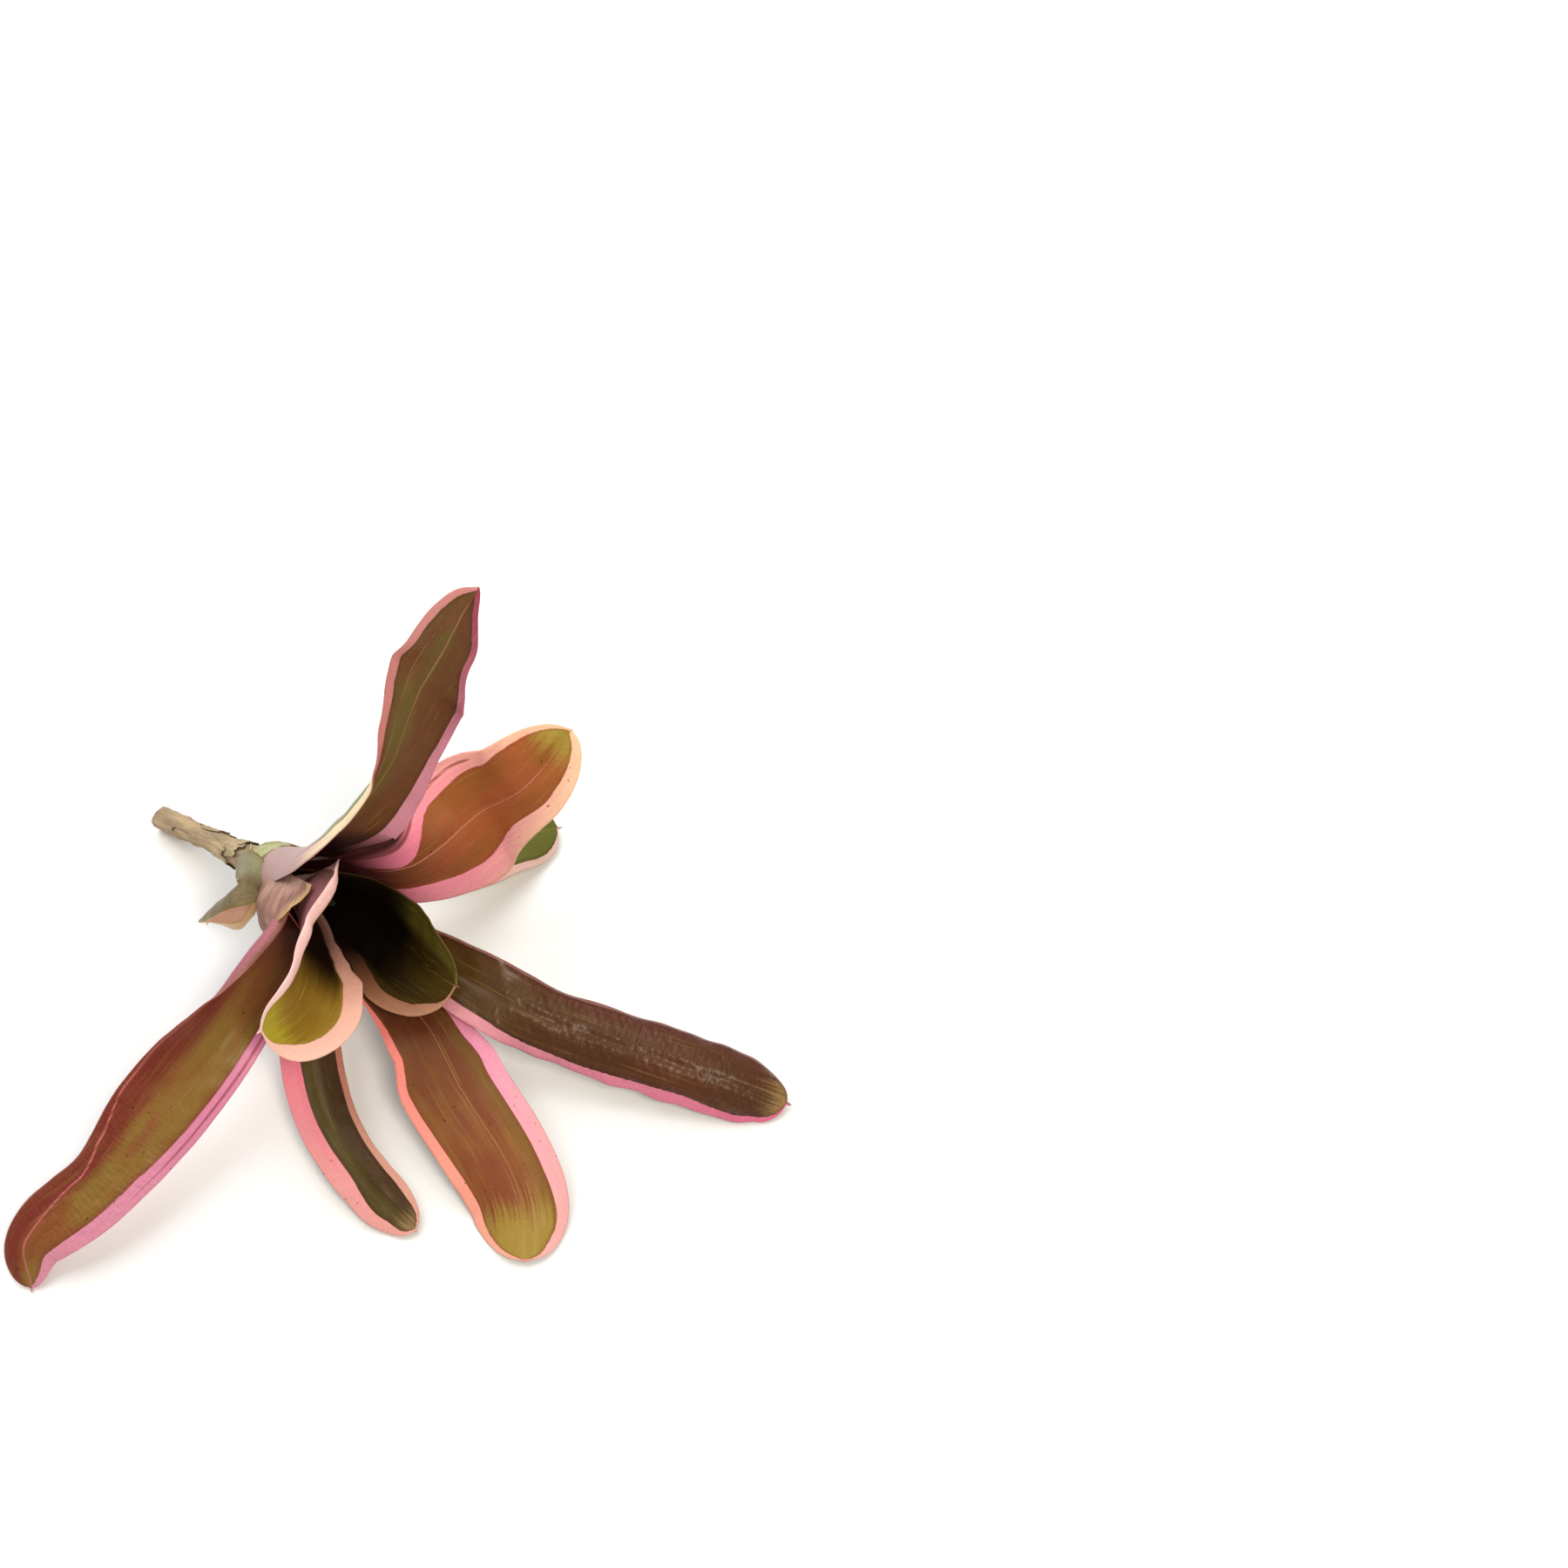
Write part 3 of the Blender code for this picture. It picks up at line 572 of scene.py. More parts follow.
LOOKS["leaf_07_upper_right"] = new_look(
    left=[(0, 6), (0.15, 9), (0.3, 10.5), (0.45, 8.5), (0.65, 5), (0.8, 3), (1, 2.2)],
    right=[(0, 4), (0.2, 6.5), (0.4, 7.6), (0.6, 7.2), (0.8, 5), (1, 3.5)],
    line=[(0, 0, 1), (0.8, 0, 0.9), (0.95, 0, 0)], line_width=0.3,
    line2=[(0, -0.5, 0.7), (0.15, -0.6, 1), (0.3, -0.69, 1), (0.45, -0.78, 1), (0.58, -0.86, 0.8),
           (0.7, -0.9, 0)], line2_width=0.75, dark=(0.05, 0.34),
    # dark and the next row lay painted shade of the cup over its foot and its left side
    dark_by_side=((-1, -0.3), (-0.75, -0.1), (-0.6, 0), (1, 0)), tip_at=0.84, tip_run=0.16, foot_reach=0.62,
    wavy=0.22, thorn=0.3,
    face={"Depth": "#3c1519", "Flesh": "#a85a32", "Patches": "#985a2a", "Foot": "#4c181c", "Tip": "#a38b37",
          "Line": "#c67c62", "Second": "#8c4038", "Left inner": "#ea8098", "Left outer": "#f6c39a",
          "Right inner": "#f08aa2", "Right outer": "#fbcfa2", "Seam": "#96492f"})
print("looks so far:", len(LOOKS))

# %% [markdown]
# ## The three long leaves
# The long right leaf has begun to dry: dark, strongly wrinkled and glossy. The long left one is rolled in along its
# upper edge, so its back shows, and its thin pink line wanders from that edge to the tip. The broad one in front is
# red-brown with an olive tip.

# %% Looks of the long leaves
LOOKS["leaf_05_long_right"] = new_look(
    left=[(0, 0.7), (0.5, 0.9), (1, 0.9)],
    right=[(0.15, 4.4), (0.35, 3.6), (0.55, 3.0), (0.8, 4.8), (0.93, 3.4), (1, 1.5)], line_width=0.0,
    tip_at=0.91, blush_side=-1, blush_from=0.5, foot_reach=0.62, wavy=0.6, wrinkled=2.2,
    wrinkle_at=((0.3, 0), (0.5, 1), (0.9, 0.9), (1, 0.3)), shine=0.34,
    face={"Flesh": "#4c2a12", "Patches": "#542c16", "Blush": "#58291c", "Foot": "#4a3c10", "Tip": "#987847",
          "Line": "#6e4a2e", "Left inner": "#8a5a50", "Left outer": "#8a5a5c", "Right inner": "#dc929a",
          "Right outer": "#e0608c", "Seam": "#3a1a10"})
LOOKS["leaf_06_long_left"] = new_look(
    left=[(0, 3.5), (0.35, 4.2), (0.7, 5.2), (0.9, 4.2), (1, 2)], right=[(0, 1.0), (0.3, 0.3), (1, 0.3)],
    line=[(0, 0.95, 0.5), (0.35, 0.96, 1), (0.5, 0.92, 1), (0.62, 0.78, 1), (0.75, 0.58, 1), (0.9, 0.33, 1),
          (1, 0, 0.6)], line_width=0.42,
    line2=[(0, -0.88, 1), (0.3, -0.84, 0.9), (0.55, -0.8, 0.7), (0.75, -0.76, 0)], line2_width=0.6, tip_at=0.94,
    # the blush on its right half is a real crimson, painted darker as shade where that half turns down
    blush_from=0.25, foot_reach=0.22, wavy=0.35, wrinkled=1.6, wrinkle_at=((0.45, 0), (0.65, 1), (1, 0.8)),
    shine=0.12,
    face={"Flesh": "#84642a", "Patches": "#824a24", "Blush": "#70281f", "Foot": "#6c3a2c", "Tip": "#8f743c",
          "Line": "#c0686a", "Second": "#9a4450", "Left inner": "#dc84a6", "Left outer": "#d68c9e",
          "Right inner": "#8f4a40", "Right outer": "#a06a60", "Seam": "#7a3a2c"},
    back={"Tip": "#a07060", "Line": "#b8787a", "Flesh": "#985c58", "Patches": "#945060", "Foot": "#a86670",
          "Left inner": "#c98a88", "Left outer": "#d6a090", "Right inner": "#b07068", "Right outer": "#c08a80",
          "Blush": "#a05c64"})
LOOKS["leaf_08_broad_front"] = new_look(
    left=[(0.1, 1.5), (0.35, 3.6), (0.55, 5.2), (0.8, 5.6), (0.95, 3.6), (1, 2)],
    right=[(0.15, 0.5), (0.35, 2.6), (0.6, 3.4), (0.85, 4.2), (1, 2.5)],
    line=[(0, 0, 0.4), (0.3, 0, 1), (0.8, 0, 0.9), (1, 0, 0)], line_width=0.22, tip_at=0.76, tip_run=0.24,
    blush_side=-1, blush_from=0.2, foot_reach=0.78, wavy=0.35, shine=0.08, thorn=0.3,
    face={"Blush": "#7e5a28", "Flesh": "#82462a", "Patches": "#8e5a2e", "Foot": "#42200f", "Tip": "#a0843a",
          "Line": "#a06c42", "Left inner": "#e88cb0", "Left outer": "#f6b2a8", "Right inner": "#f88a80",
          "Right outer": "#f8ac92", "Seam": "#7a3c20"})
print("looks so far:", len(LOOKS))

# %% [markdown]
# ## The two leaves of the cup
# They hold the water. The right one is nearly black inside and only its outer rim is green, the left one is bright
# olive with pale bands. The black deep in both is painted shade, partly the real dark of wet sheath bases. Both are
# matt, because a gleam down in the cup would make it look shallow.

# %% Looks of the cup leaves
LOOKS["leaf_09_cup_right"] = new_look(
    left=[(0, 0.4), (1, 0.4)], right=[(0, 4), (0.4, 5.6), (0.8, 5.4), (1, 2)], line=[(0, -0.3, 0.3), (1, 0, 1)],
    # painted shade of the cup, partly the real dark of wet bases: the dark and side tables, the near-black foot and
    # shade colours, and a peach right band painted darker than it is
    line_width=0.3, dark=(0.25, 0.95),
    dark_by_side=((-1, 0.6), (-0.7, 0.42), (-0.3, 0.05), (0.5, 0), (0.7, 0.3), (1, 0.35)), tip_at=1.2,
    blush_side=-1, blush_from=0.3, foot_reach=0.4, wavy=0.6, wrinkled=0.0, shine=-0.4,
    face={"Flesh": "#4c3a14", "Patches": "#3c2c10", "Blush": "#57501c", "Foot": "#140a04", "Line": "#6f5a30",
          "Left inner": "#604226", "Left outer": "#6e5a30", "Right inner": "#8c5a40", "Right outer": "#b48468",
          "Seam": "#3a2a10", "Depth": "#080402"})
LOOKS["leaf_10_cup_left"] = new_look(
    left=[(0, 5), (0.5, 6.2), (0.85, 6), (1, 3)], right=[(0, 4), (0.3, 4.6), (0.7, 3), (1, 1.6)],
    # painted shade of the cup on its foot and inner side: the dark and side tables and the dark foot and shade
    # colours
    line=[(0, 0.1, 0.4), (0.5, 0.05, 1), (1, 0, 0.4)], line_width=0.3, dark=(0.1, 0.5),
    dark_by_side=((-1, 0.25), (-0.72, 0.2), (-0.55, -0.08), (0.2, 0), (0.62, 0.05), (0.8, 1.0)), tip_at=0.7,
    tip_run=0.3, foot_reach=0.6, wavy=0.7, wrinkled=0.12, shine=-0.2,
    face={"Flesh": "#94762a", "Patches": "#86661e", "Foot": "#4c3010", "Tip": "#a8982a", "Line": "#b09448",
          "Left inner": "#eaac96", "Left outer": "#f0c0ae", "Right inner": "#efc0b8", "Right outer": "#f7cec7",
          "Seam": "#96742c", "Depth": "#1c0e06"},
    back={"Flesh": "#9a7066", "Patches": "#a07a70", "Foot": "#8c5a5c", "Left inner": "#d8a498",
          "Left outer": "#e8b8aa", "Right inner": "#e8b8b0", "Right outer": "#f0c6be"})
print("looks:", len(LOOKS))

# %% [markdown]
# ## Helpers for nodes
# A node tree written out in full is long, so each helper adds one kind of node and gives back its output, and the
# outputs are passed on like numbers.

# %% One helper for each kind of node
def rgb(hex_colour):
    """A colour written as #rrggbb, as the linear numbers that a shader takes."""
    parts = [int(hex_colour[i:i + 2], 16) / 255 for i in (1, 3, 5)]
    return tuple(p / 12.92 if p <= 0.04045 else ((p + 0.055) / 1.055) ** 2.4 for p in parts) + (1.0,)


def put(tree, kind, inputs=None, out=0, **settings):
    """Adds a node, sets its values or links its inputs, and gives back one of its outputs."""
    node = tree.nodes.new(kind)
    for key, value in settings.items():
        setattr(node, key, value)
    for key, value in (inputs or {}).items():
        if isinstance(value, bpy.types.NodeSocket):
            tree.links.new(value, node.inputs[key])
        else:
            node.inputs[key].default_value = value
    return node.outputs[out]


def parts_of(tree, kind, value):
    return put(tree, kind, {0: value}).node.outputs


def maths(tree, operation, a, b=0.0):
    return put(tree, "ShaderNodeMath", {0: a, 1: b}, operation=operation)


def plus(tree, a, b, times):
    """a + b * times"""
    return maths(tree, "ADD", a, maths(tree, "MULTIPLY", b, times))


def ramp(tree, value, low, high, to_low=0.0, to_high=1.0):
    return put(tree, "ShaderNodeMapRange", {0: value, 1: low, 2: high, 3: to_low, 4: to_high},
               interpolation_type="SMOOTHSTEP")


def mix(tree, share, a, b, blend="MIX"):
    return put(tree, "ShaderNodeMix", {0: share, 6: a, 7: b}, out=2, data_type="RGBA", blend_type=blend)


def noise(tree, place, across, along, scale=1.0, detail=2.0, rough=0.5):
    """Noise on the leaf's own millimetres, drawn out by a small number across or along."""
    place = put(tree, "ShaderNodeVectorMath", {0: place, 1: (across, along, 1.0)}, operation="MULTIPLY")
    return put(tree, "ShaderNodeTexNoise", {"Vector": place, "Scale": scale, "Detail": detail, "Roughness": rough})


print("linear value of a mid olive:", [round(c, 3) for c in rgb("#88642a")[:3]])

# %% [markdown]
# ## Groups, and a material round a group
# An effect that several materials share is a node group. Its sockets are made with interface.new_socket, and every
# group here puts out a colour, a roughness and a height. `group_material` makes the material round it: the
# attributes go in, and what comes out feeds the shader, which stays in the material itself.

# %% Make a group, make a material
SOCKETS = {"C": "NodeSocketColor", "V": "NodeSocketVector", "F": "NodeSocketFloat"}
READS = {"leaf_place": {"Vector": "Place"}, "leaf_tone": {"Vector": "Tone"},
         "leaf_bands": {"Color": "Bands", "Alpha": "Second line"}}    # attribute: {its output: the group's input}


def new_group(name, inputs, fill):
    """A node group with the given inputs; fill(tree, inputs) adds its nodes and gives back its three outputs."""
    tree = bpy.data.node_groups.new(name, "ShaderNodeTree")
    for kind, labels in inputs.items():
        for label in labels:
            tree.interface.new_socket(label, in_out="INPUT", socket_type=SOCKETS[kind])
    for label, kind in (("Colour", "C"), ("Roughness", "F"), ("Height", "F")):
        tree.interface.new_socket(label, in_out="OUTPUT", socket_type=SOCKETS[kind])
    given, result = tree.nodes.new("NodeGroupInput").outputs, tree.nodes.new("NodeGroupOutput").inputs
    for socket, value in zip(result, fill(tree, given)):
        tree.links.new(value, socket)
    return tree


def group_material(name, group, values, bump_strength, bump_distance, shader_values):
    """values go into the group's inputs, and shader_values straight into the shader's own."""
    material = bpy.data.materials.new(name)
    material.use_nodes = True
    tree = material.node_tree
    shader = tree.nodes["Principled BSDF"]
    node = tree.nodes.new("ShaderNodeGroup")
    node.node_tree = group
    for label, value in values.items():
        node.inputs[label].default_value = value
    for attribute, links in READS.items():
        for output, label in links.items():
            if label in node.inputs:
                read = put(tree, "ShaderNodeAttribute", out=output, attribute_name=attribute)
                tree.links.new(read, node.inputs[label])
    bump = put(tree, "ShaderNodeBump", {"Height": node.outputs["Height"], "Strength": bump_strength,
                                        "Distance": bump_distance})
    tree.links.new(node.outputs["Colour"], shader.inputs["Base Color"])
    tree.links.new(node.outputs["Roughness"], shader.inputs["Roughness"])
    tree.links.new(bump, shader.inputs["Normal"])
    for label, value in shader_values.items():
        shader.inputs[label].default_value = value
    return material


print("attributes that materials read:", ", ".join(READS))

# %% [markdown]
# ## The colour of a leaf
# One node group works it out for all twenty leaf materials, each with its own colours. It starts with the flesh and
# its patches, lays the blush, the foot, the tip, the thin lines and the two edge bands over it, and ends with grain,
# specks and the painted shade of the cup. Every border is broken up by `streak`, a noise that is drawn out along the
# leaf, as plant fibres are. The height it puts out is for ribs and wrinkles too fine for the mesh.

# %% The group that colours a leaf
LEAF_INPUTS = {"V": ["Place", "Tone"], "C": ["Bands", *FACE_DEFAULTS],
               "F": ["Second line", "Foot reach", "Turn from", "Turn to", "Line width", "Second width", "Bloom",
                     "Wrinkles"]}
SCURF = rgb("#d9d2c4")                          # the grey bloom on a back
# noises as (across, along, scale, detail, roughness); a small number draws one out in that direction
STREAK, BROAD, GRAIN = (1.1, 0.035, 1.0, 3.0, 0.6), (0.09, 0.035), (1.0, 1.0, 1.6, 3.0, 0.6)
SPECKS, RIBS, CREASES = (1.1, 0.8, 0.8, 1.0, 0.3), (2.6, 0.05), (0.45, 1.15, 1.0, 3.0, 0.6)
# how far the streaks shake each border: thin lines and bands in mm, the others as a share
SHAKE_PATCH, SHAKE_TIP, SHAKE_LINE, SHAKE_BAND, SHAKE_TURN = 0.35, 1.8, 0.3, 0.9, 0.4
SEAM_FROM, SEAM_TO, BAND_FROM, BAND_TO = -1.6, -0.1, -0.15, 0.2     # mm inside the band's border


def fill_leaf_group(g, i):
    place = i["Place"]
    t = parts_of(g, "ShaderNodeSeparateXYZ", place)[2]
    left, right, line = parts_of(g, "ShaderNodeSeparateColor", i["Bands"])
    dark, tip, blush = parts_of(g, "ShaderNodeSeparateXYZ", i["Tone"])
    streak = noise(g, place, *STREAK)
    broad = noise(g, place, *BROAD)
    grain = noise(g, place, *GRAIN)
    sway = maths(g, "SUBTRACT", streak, 0.5)

    # the flesh: two colours in drawn-out patches, a blush on one side, the foot and the tip
    flesh = mix(g, ramp(g, plus(g, broad, sway, SHAKE_PATCH), 0.38, 0.62), i["Flesh"], i["Patches"])
    flesh = mix(g, maths(g, "MULTIPLY", blush, ramp(g, streak, 0.25, 0.6, 0.6, 1.0)), flesh, i["Blush"])
    near = ramp(g, t, 0.0, i["Foot reach"], 1.0, 0.0)
    flesh = mix(g, maths(g, "MULTIPLY", near, ramp(g, streak, 0.3, 0.6, 0.78, 1.0)), flesh, i["Foot"])
    flesh = mix(g, ramp(g, plus(g, tip, sway, SHAKE_TIP), 0.1, 0.9), flesh, i["Tip"])
    flesh = mix(g, ramp(g, streak, 0.52, 0.75, 0.0, 0.15), flesh, i["Line"])

    def thin(distance, width, strength):
        share = maths(g, "DIVIDE", plus(g, distance, sway, SHAKE_LINE), maths(g, "MAXIMUM", width, 0.001))
        return maths(g, "MULTIPLY", ramp(g, share, 0.4, 1.2, 1.0, 0.0), strength)

    # the first thin line, the bands with a darker seam just inside them, and the second line on top
    flesh = mix(g, thin(line, i["Line width"], 0.85), flesh, i["Line"])
    for label, depth in (("Left", left), ("Right", right)):
        depth = plus(g, depth, sway, SHAKE_BAND)
        flesh = mix(g, ramp(g, depth, SEAM_FROM, SEAM_TO, 0.0, 0.5), flesh, i["Seam"])
        far = ramp(g, plus(g, plus(g, t, depth, 0.025), sway, SHAKE_TURN), i["Turn from"], i["Turn to"])
        band = mix(g, far, i[label + " inner"], i[label + " outer"])
        flesh = mix(g, ramp(g, depth, BAND_FROM, BAND_TO), flesh, band)
    flesh = mix(g, thin(i["Second line"], i["Second width"], 0.8), flesh, i["Second"])

    # grain, specks, bloom and the painted shade of the cup
    shade = ramp(g, grain, 0.25, 0.75, 0.93, 1.07)
    flesh = mix(g, 1.0, flesh, put(g, "ShaderNodeCombineColor", {0: shade, 1: shade, 2: shade}), "MULTIPLY")
    flesh = mix(g, ramp(g, noise(g, place, *SPECKS), 0.775, 0.8, 0.0, 0.6), flesh, i["Depth"])
    flesh = mix(g, maths(g, "MULTIPLY", ramp(g, grain, 0.5, 0.72), i["Bloom"]), flesh, SCURF)
    # painted shade: deep in the cup the colour turns to the near-black shade colour
    colour = mix(g, dark, flesh, i["Depth"])

    # fine ribs along the leaf, and cross wrinkles towards its tip, which are a little glossier
    wrinkled = maths(g, "MULTIPLY", i["Wrinkles"], ramp(g, t, 0.3, 0.6, 0.15, 1.0))
    ribs = maths(g, "MULTIPLY", noise(g, place, *RIBS), 0.35)
    height = plus(g, ribs, noise(g, place, *CREASES), wrinkled)
    rough = ramp(g, plus(g, grain, sway, 0.5), 0.2, 0.8, 0.36, 0.52)
    return colour, plus(g, rough, wrinkled, -0.05), height


LEAF_GROUP = new_group("variegated leaf", LEAF_INPUTS, fill_leaf_group)
print("nodes in the leaf group:", len(LEAF_GROUP.nodes))

# %% [markdown]
# ## A face and a back for each leaf
# The two sides of a leaf differ: the back is duller and greyer, has no thin lines and a little bloom, and only the
# face takes the painted shade inside the cup. A thin coat gives the gloss of the face. Its highlights are tinted
# warm, because a plain grey gleam would lie like dust on such dark leaves.

# %% Two materials for a leaf
LEAF_BUMP = (0.55, 0.0004)                      # strength, and height in metres
COAT_ROUGHNESS, GLEAM_TINT = 0.22, (1.0, 0.82, 0.6, 1.0)
PLAIN_GLEAM, SHINE_GLEAM, SHINE_COAT = 0.16, 0.3, 0.5
PLAIN_WRINKLES, BACK_REACH, BACK_BLOOM = 0.3, 0.3, 0.06


def leaf_materials(name, look):
    def make(side, colours, numbers, shine):
        values = {label: rgb(colour) for label, colour in colours.items()}
        shader = {"Coat Weight": SHINE_COAT * max(shine, 0.0), "Coat Roughness": COAT_ROUGHNESS,
                  "Specular IOR Level": PLAIN_GLEAM + SHINE_GLEAM * shine, "Specular Tint": GLEAM_TINT}
        return group_material(name + side, LEAF_GROUP, dict(values, **numbers), *LEAF_BUMP, shader)

    face = dict(FACE_DEFAULTS, **look["face"])
    back = dict(BACK_DEFAULTS, **look["back"])
    # the back gets no painted cup shade: its shade and speck colour is its foot colour
    back["Depth"] = back["Foot"]
    face_numbers = {"Foot reach": look["foot_reach"], "Turn from": BAND_TURN[0], "Turn to": BAND_TURN[1],
                    "Line width": look["line_width"], "Second width": look["line2_width"], "Bloom": 0.0,
                    "Wrinkles": PLAIN_WRINKLES + look["wrinkled"]}
    back_numbers = {"Foot reach": BACK_REACH, "Turn from": look["turn"][0], "Turn to": look["turn"][1],
                    "Line width": 0.0, "Second width": 0.0, "Bloom": BACK_BLOOM, "Wrinkles": PLAIN_WRINKLES}
    return make("_face", face, face_numbers, look["shine"]), make("_back", back, back_numbers, 0.0)


print("leaf materials to come:", 2 * len(LEAVES))

# %% [markdown]
# ## Build the leaves
# The grid is laid over the fine surface, marked with its numbers, and Solidify gives it its thickness. A leaf is
# thickest at the midrib and thin at its edges, so a vertex group scales the modifier, in eight steps. The generated
# side takes the second material slot, which is the back.

# %% Ten leaves
LEAF_THICK, EDGE_SHARE, POINT_SHARE = 0.9, 0.45, 0.7    # mm at the midrib; shares left at the edge and in the point
THICK_STEPS = 8


def make_leaf(leaf, order):
    name, look = leaf["name"], LOOKS[leaf["name"]]
    grid, t, wide, across, s, v = fine_leaf(leaf, order, look)
    rows, cols = grid.shape[0] - 1, grid.shape[1] - 1
    ob, pick = grid_piece(name + "_fine", rows, cols)
    move_points(ob, grid[pick])
    mark_leaf(ob, look, pick, t, wide, across, s, v)

    thick = ob.vertex_groups.new(name="thick")
    weight = EDGE_SHARE + (1.0 - EDGE_SHARE) * (1.0 - (across / wide) ** 2)
    in_point = np.arange(rows + 1)[:, None] > rows - POINT_ROWS
    weight = np.where(in_point, weight * POINT_SHARE, weight)[pick]
    levels = (weight * THICK_STEPS).astype(int).clip(0, THICK_STEPS - 1)
    for level in range(THICK_STEPS):
        some = [int(i) for i in np.nonzero(levels == level)[0]]
        thick.add(some, (level + 0.5) / THICK_STEPS, "REPLACE")
    solid = ob.modifiers.new("thickness", "SOLIDIFY")
    solid.thickness, solid.offset = LEAF_THICK * MM, 0.0
    solid.vertex_group, solid.material_offset = "thick", 1
    for material in leaf_materials(name, look):
        ob.data.materials.append(material)
    finish(ob, name)
    return ob


LEAF_PIECES = [make_leaf(leaf, order) for order, leaf in enumerate(LEAVES)]
print("leaves:", len(LEAF_PIECES), "triangles:",
      sum(len(p.vertices) - 2 for ob in LEAF_PIECES for p in ob.data.polygons))

# %% [markdown]
# ## Dry fibres
# The runner's skin, the torn scales on it, the collar of old leaf bases and the old sheath are all dead tissue: tan
# to mauve-brown, drawn out in fibres, with darker torn rims and a few black spots. They share one node group. It
# reads one attribute: millimetres across the fibres, millimetres along them, and the share of the way from the
# piece's foot to its rim.

# %% The group that colours dry fibres, and its materials
DRY_INPUTS = {"V": ["Place"], "C": ["Light", "Mid", "Dark", "Rim", "Stain"], "F": ["Rim from", "Spots"]}
DRY_BUMP_STRENGTH, DRY_GLEAM, STAIN = 0.7, 0.3, "#17120e"
FIBRE, PATCH, SPOT = (2.2, 0.12, 1.0, 4.0, 0.65), (0.22, 0.12), (0.32, 0.22, 1.0, 1.5)     # noises, as for a leaf


def fill_dry_group(g, i):
    place = i["Place"]
    depth = parts_of(g, "ShaderNodeSeparateXYZ", place)[2]
    fibre = noise(g, place, *FIBRE)
    patch = noise(g, place, *PATCH)
    spot = noise(g, place, *SPOT)
    skin = mix(g, ramp(g, patch, 0.35, 0.65), i["Light"], i["Mid"])
    skin = mix(g, ramp(g, fibre, 0.5, 0.72, 0.0, 0.75), skin, i["Dark"])
    skin = mix(g, ramp(g, fibre, 0.28, 0.42, 0.5, 0.0), skin, i["Light"])
    torn = plus(g, depth, maths(g, "SUBTRACT", fibre, 0.5), 0.35)
    skin = mix(g, ramp(g, torn, i["Rim from"], 1.0, 0.0, 0.9), skin, i["Rim"])
    skin = mix(g, maths(g, "MULTIPLY", ramp(g, spot, 0.66, 0.72), i["Spots"]), skin, i["Stain"])
    return skin, ramp(g, fibre, 0.3, 0.7, 0.55, 0.85), plus(g, fibre, patch, 0.6)


DRY_GROUP = new_group("dry fibres", DRY_INPUTS, fill_dry_group)


def dry_material(name, light, mid, dark, rim, rim_from=0.85, spots=0.0, bump=0.0005):
    colours = {"Light": light, "Mid": mid, "Dark": dark, "Rim": rim, "Stain": STAIN}
    values = {label: rgb(colour) for label, colour in colours.items()}
    values.update({"Rim from": rim_from, "Spots": spots})
    return group_material(name, DRY_GROUP, values, DRY_BUMP_STRENGTH, bump, {"Specular IOR Level": DRY_GLEAM})


RUNNER_SKIN = dry_material("runner_skin", "#bea27c", "#a18a6c", "#6c5c46", "#8a7658", 0.97, spots=0.8)
CUT_WOOD = dry_material("cut_wood", "#c89a66", "#b58a5c", "#8a6238", "#7a6448", 0.8)
SCALE_SKIN = dry_material("torn_scale", "#c2ab84", "#a89474", "#75634a", "#4a3a2a", 0.93, spots=0.7)
COLLAR_SKIN = dry_material("collar_fibre", "#b3b184", "#989068", "#84795a", "#7c6e56", 0.9, bump=0.0002)
SHEATH_SKIN = dry_material("old_sheath", "#b08a78", "#8c6256", "#664039", "#c4a468", 0.93, bump=0.0003)
# painted shade: the rolled young leaf is coloured nearly black for the shade deep in the cup
HEART_PAINTED_SHADE = dry_material("young_leaf_painted_shade", "#1c1a0b", "#161408", "#0e0c05", "#22200e", 0.9)
print("nodes in the dry group:", len(DRY_GROUP.nodes), "last material:", HEART_PAINTED_SHADE.name)

# %% [markdown]
# ## The cut runner
# The pup grew on the end of a woody runner about as thick as a pencil, which was cut off at a slant. It starts as a
# cylinder primitive. Its side is cut into rings with Subdivide, and each end face gets insets for the rind and the
# pith and is closed with Poke. Then the rings are moved onto the runner's line by a formula, because its swollen
# nodes and its long shallow wrinkles run into each other in a way that bevels and loops can't give.

# %% A cylinder cut into rings
def pick_parts(ob, kind, wanted):
    """Leaves exactly the wanted edges or faces of ob selected, in edit mode."""
    bpy.context.tool_settings.mesh_select_mode = (False, kind == "EDGE", kind == "FACE")
    bpy.ops.object.mode_set(mode="EDIT")
    bpy.ops.mesh.select_all(action="DESELECT")
    bpy.ops.object.mode_set(mode="OBJECT")
    for part in (ob.data.edges if kind == "EDGE" else ob.data.polygons):
        part.select = bool(wanted(part))
    bpy.ops.object.mode_set(mode="EDIT")


def ringed_cylinder(name, sides, cuts, insets):
    """The object, and each vertex's angle, share of the height, and share of the radius."""
    start_fresh()
    bpy.ops.mesh.primitive_cylinder_add(vertices=sides, radius=1.0, depth=1.0)
    ob = bpy.context.object
    ob.name = ob.data.name = name
    height = [v.co.z for v in ob.data.vertices]
    pick_parts(ob, "EDGE", lambda e: abs(height[e.vertices[0]] - height[e.vertices[1]]) > 0.5)
    bpy.ops.mesh.subdivide(number_cuts=cuts)
    bpy.ops.object.mode_set(mode="OBJECT")
    for end in (-1.0, 1.0):
        pick_parts(ob, "FACE", lambda f: f.normal.z * end > 0.9)
        for thickness in insets:
            bpy.ops.mesh.inset(thickness=thickness, depth=0.0)
        bpy.ops.mesh.poke()
        bpy.ops.object.mode_set(mode="OBJECT")
    flat = read_points(ob)
    return ob, np.arctan2(flat[:, 1], flat[:, 0]), flat[:, 2] + 0.5, np.hypot(flat[:, 0], flat[:, 1])


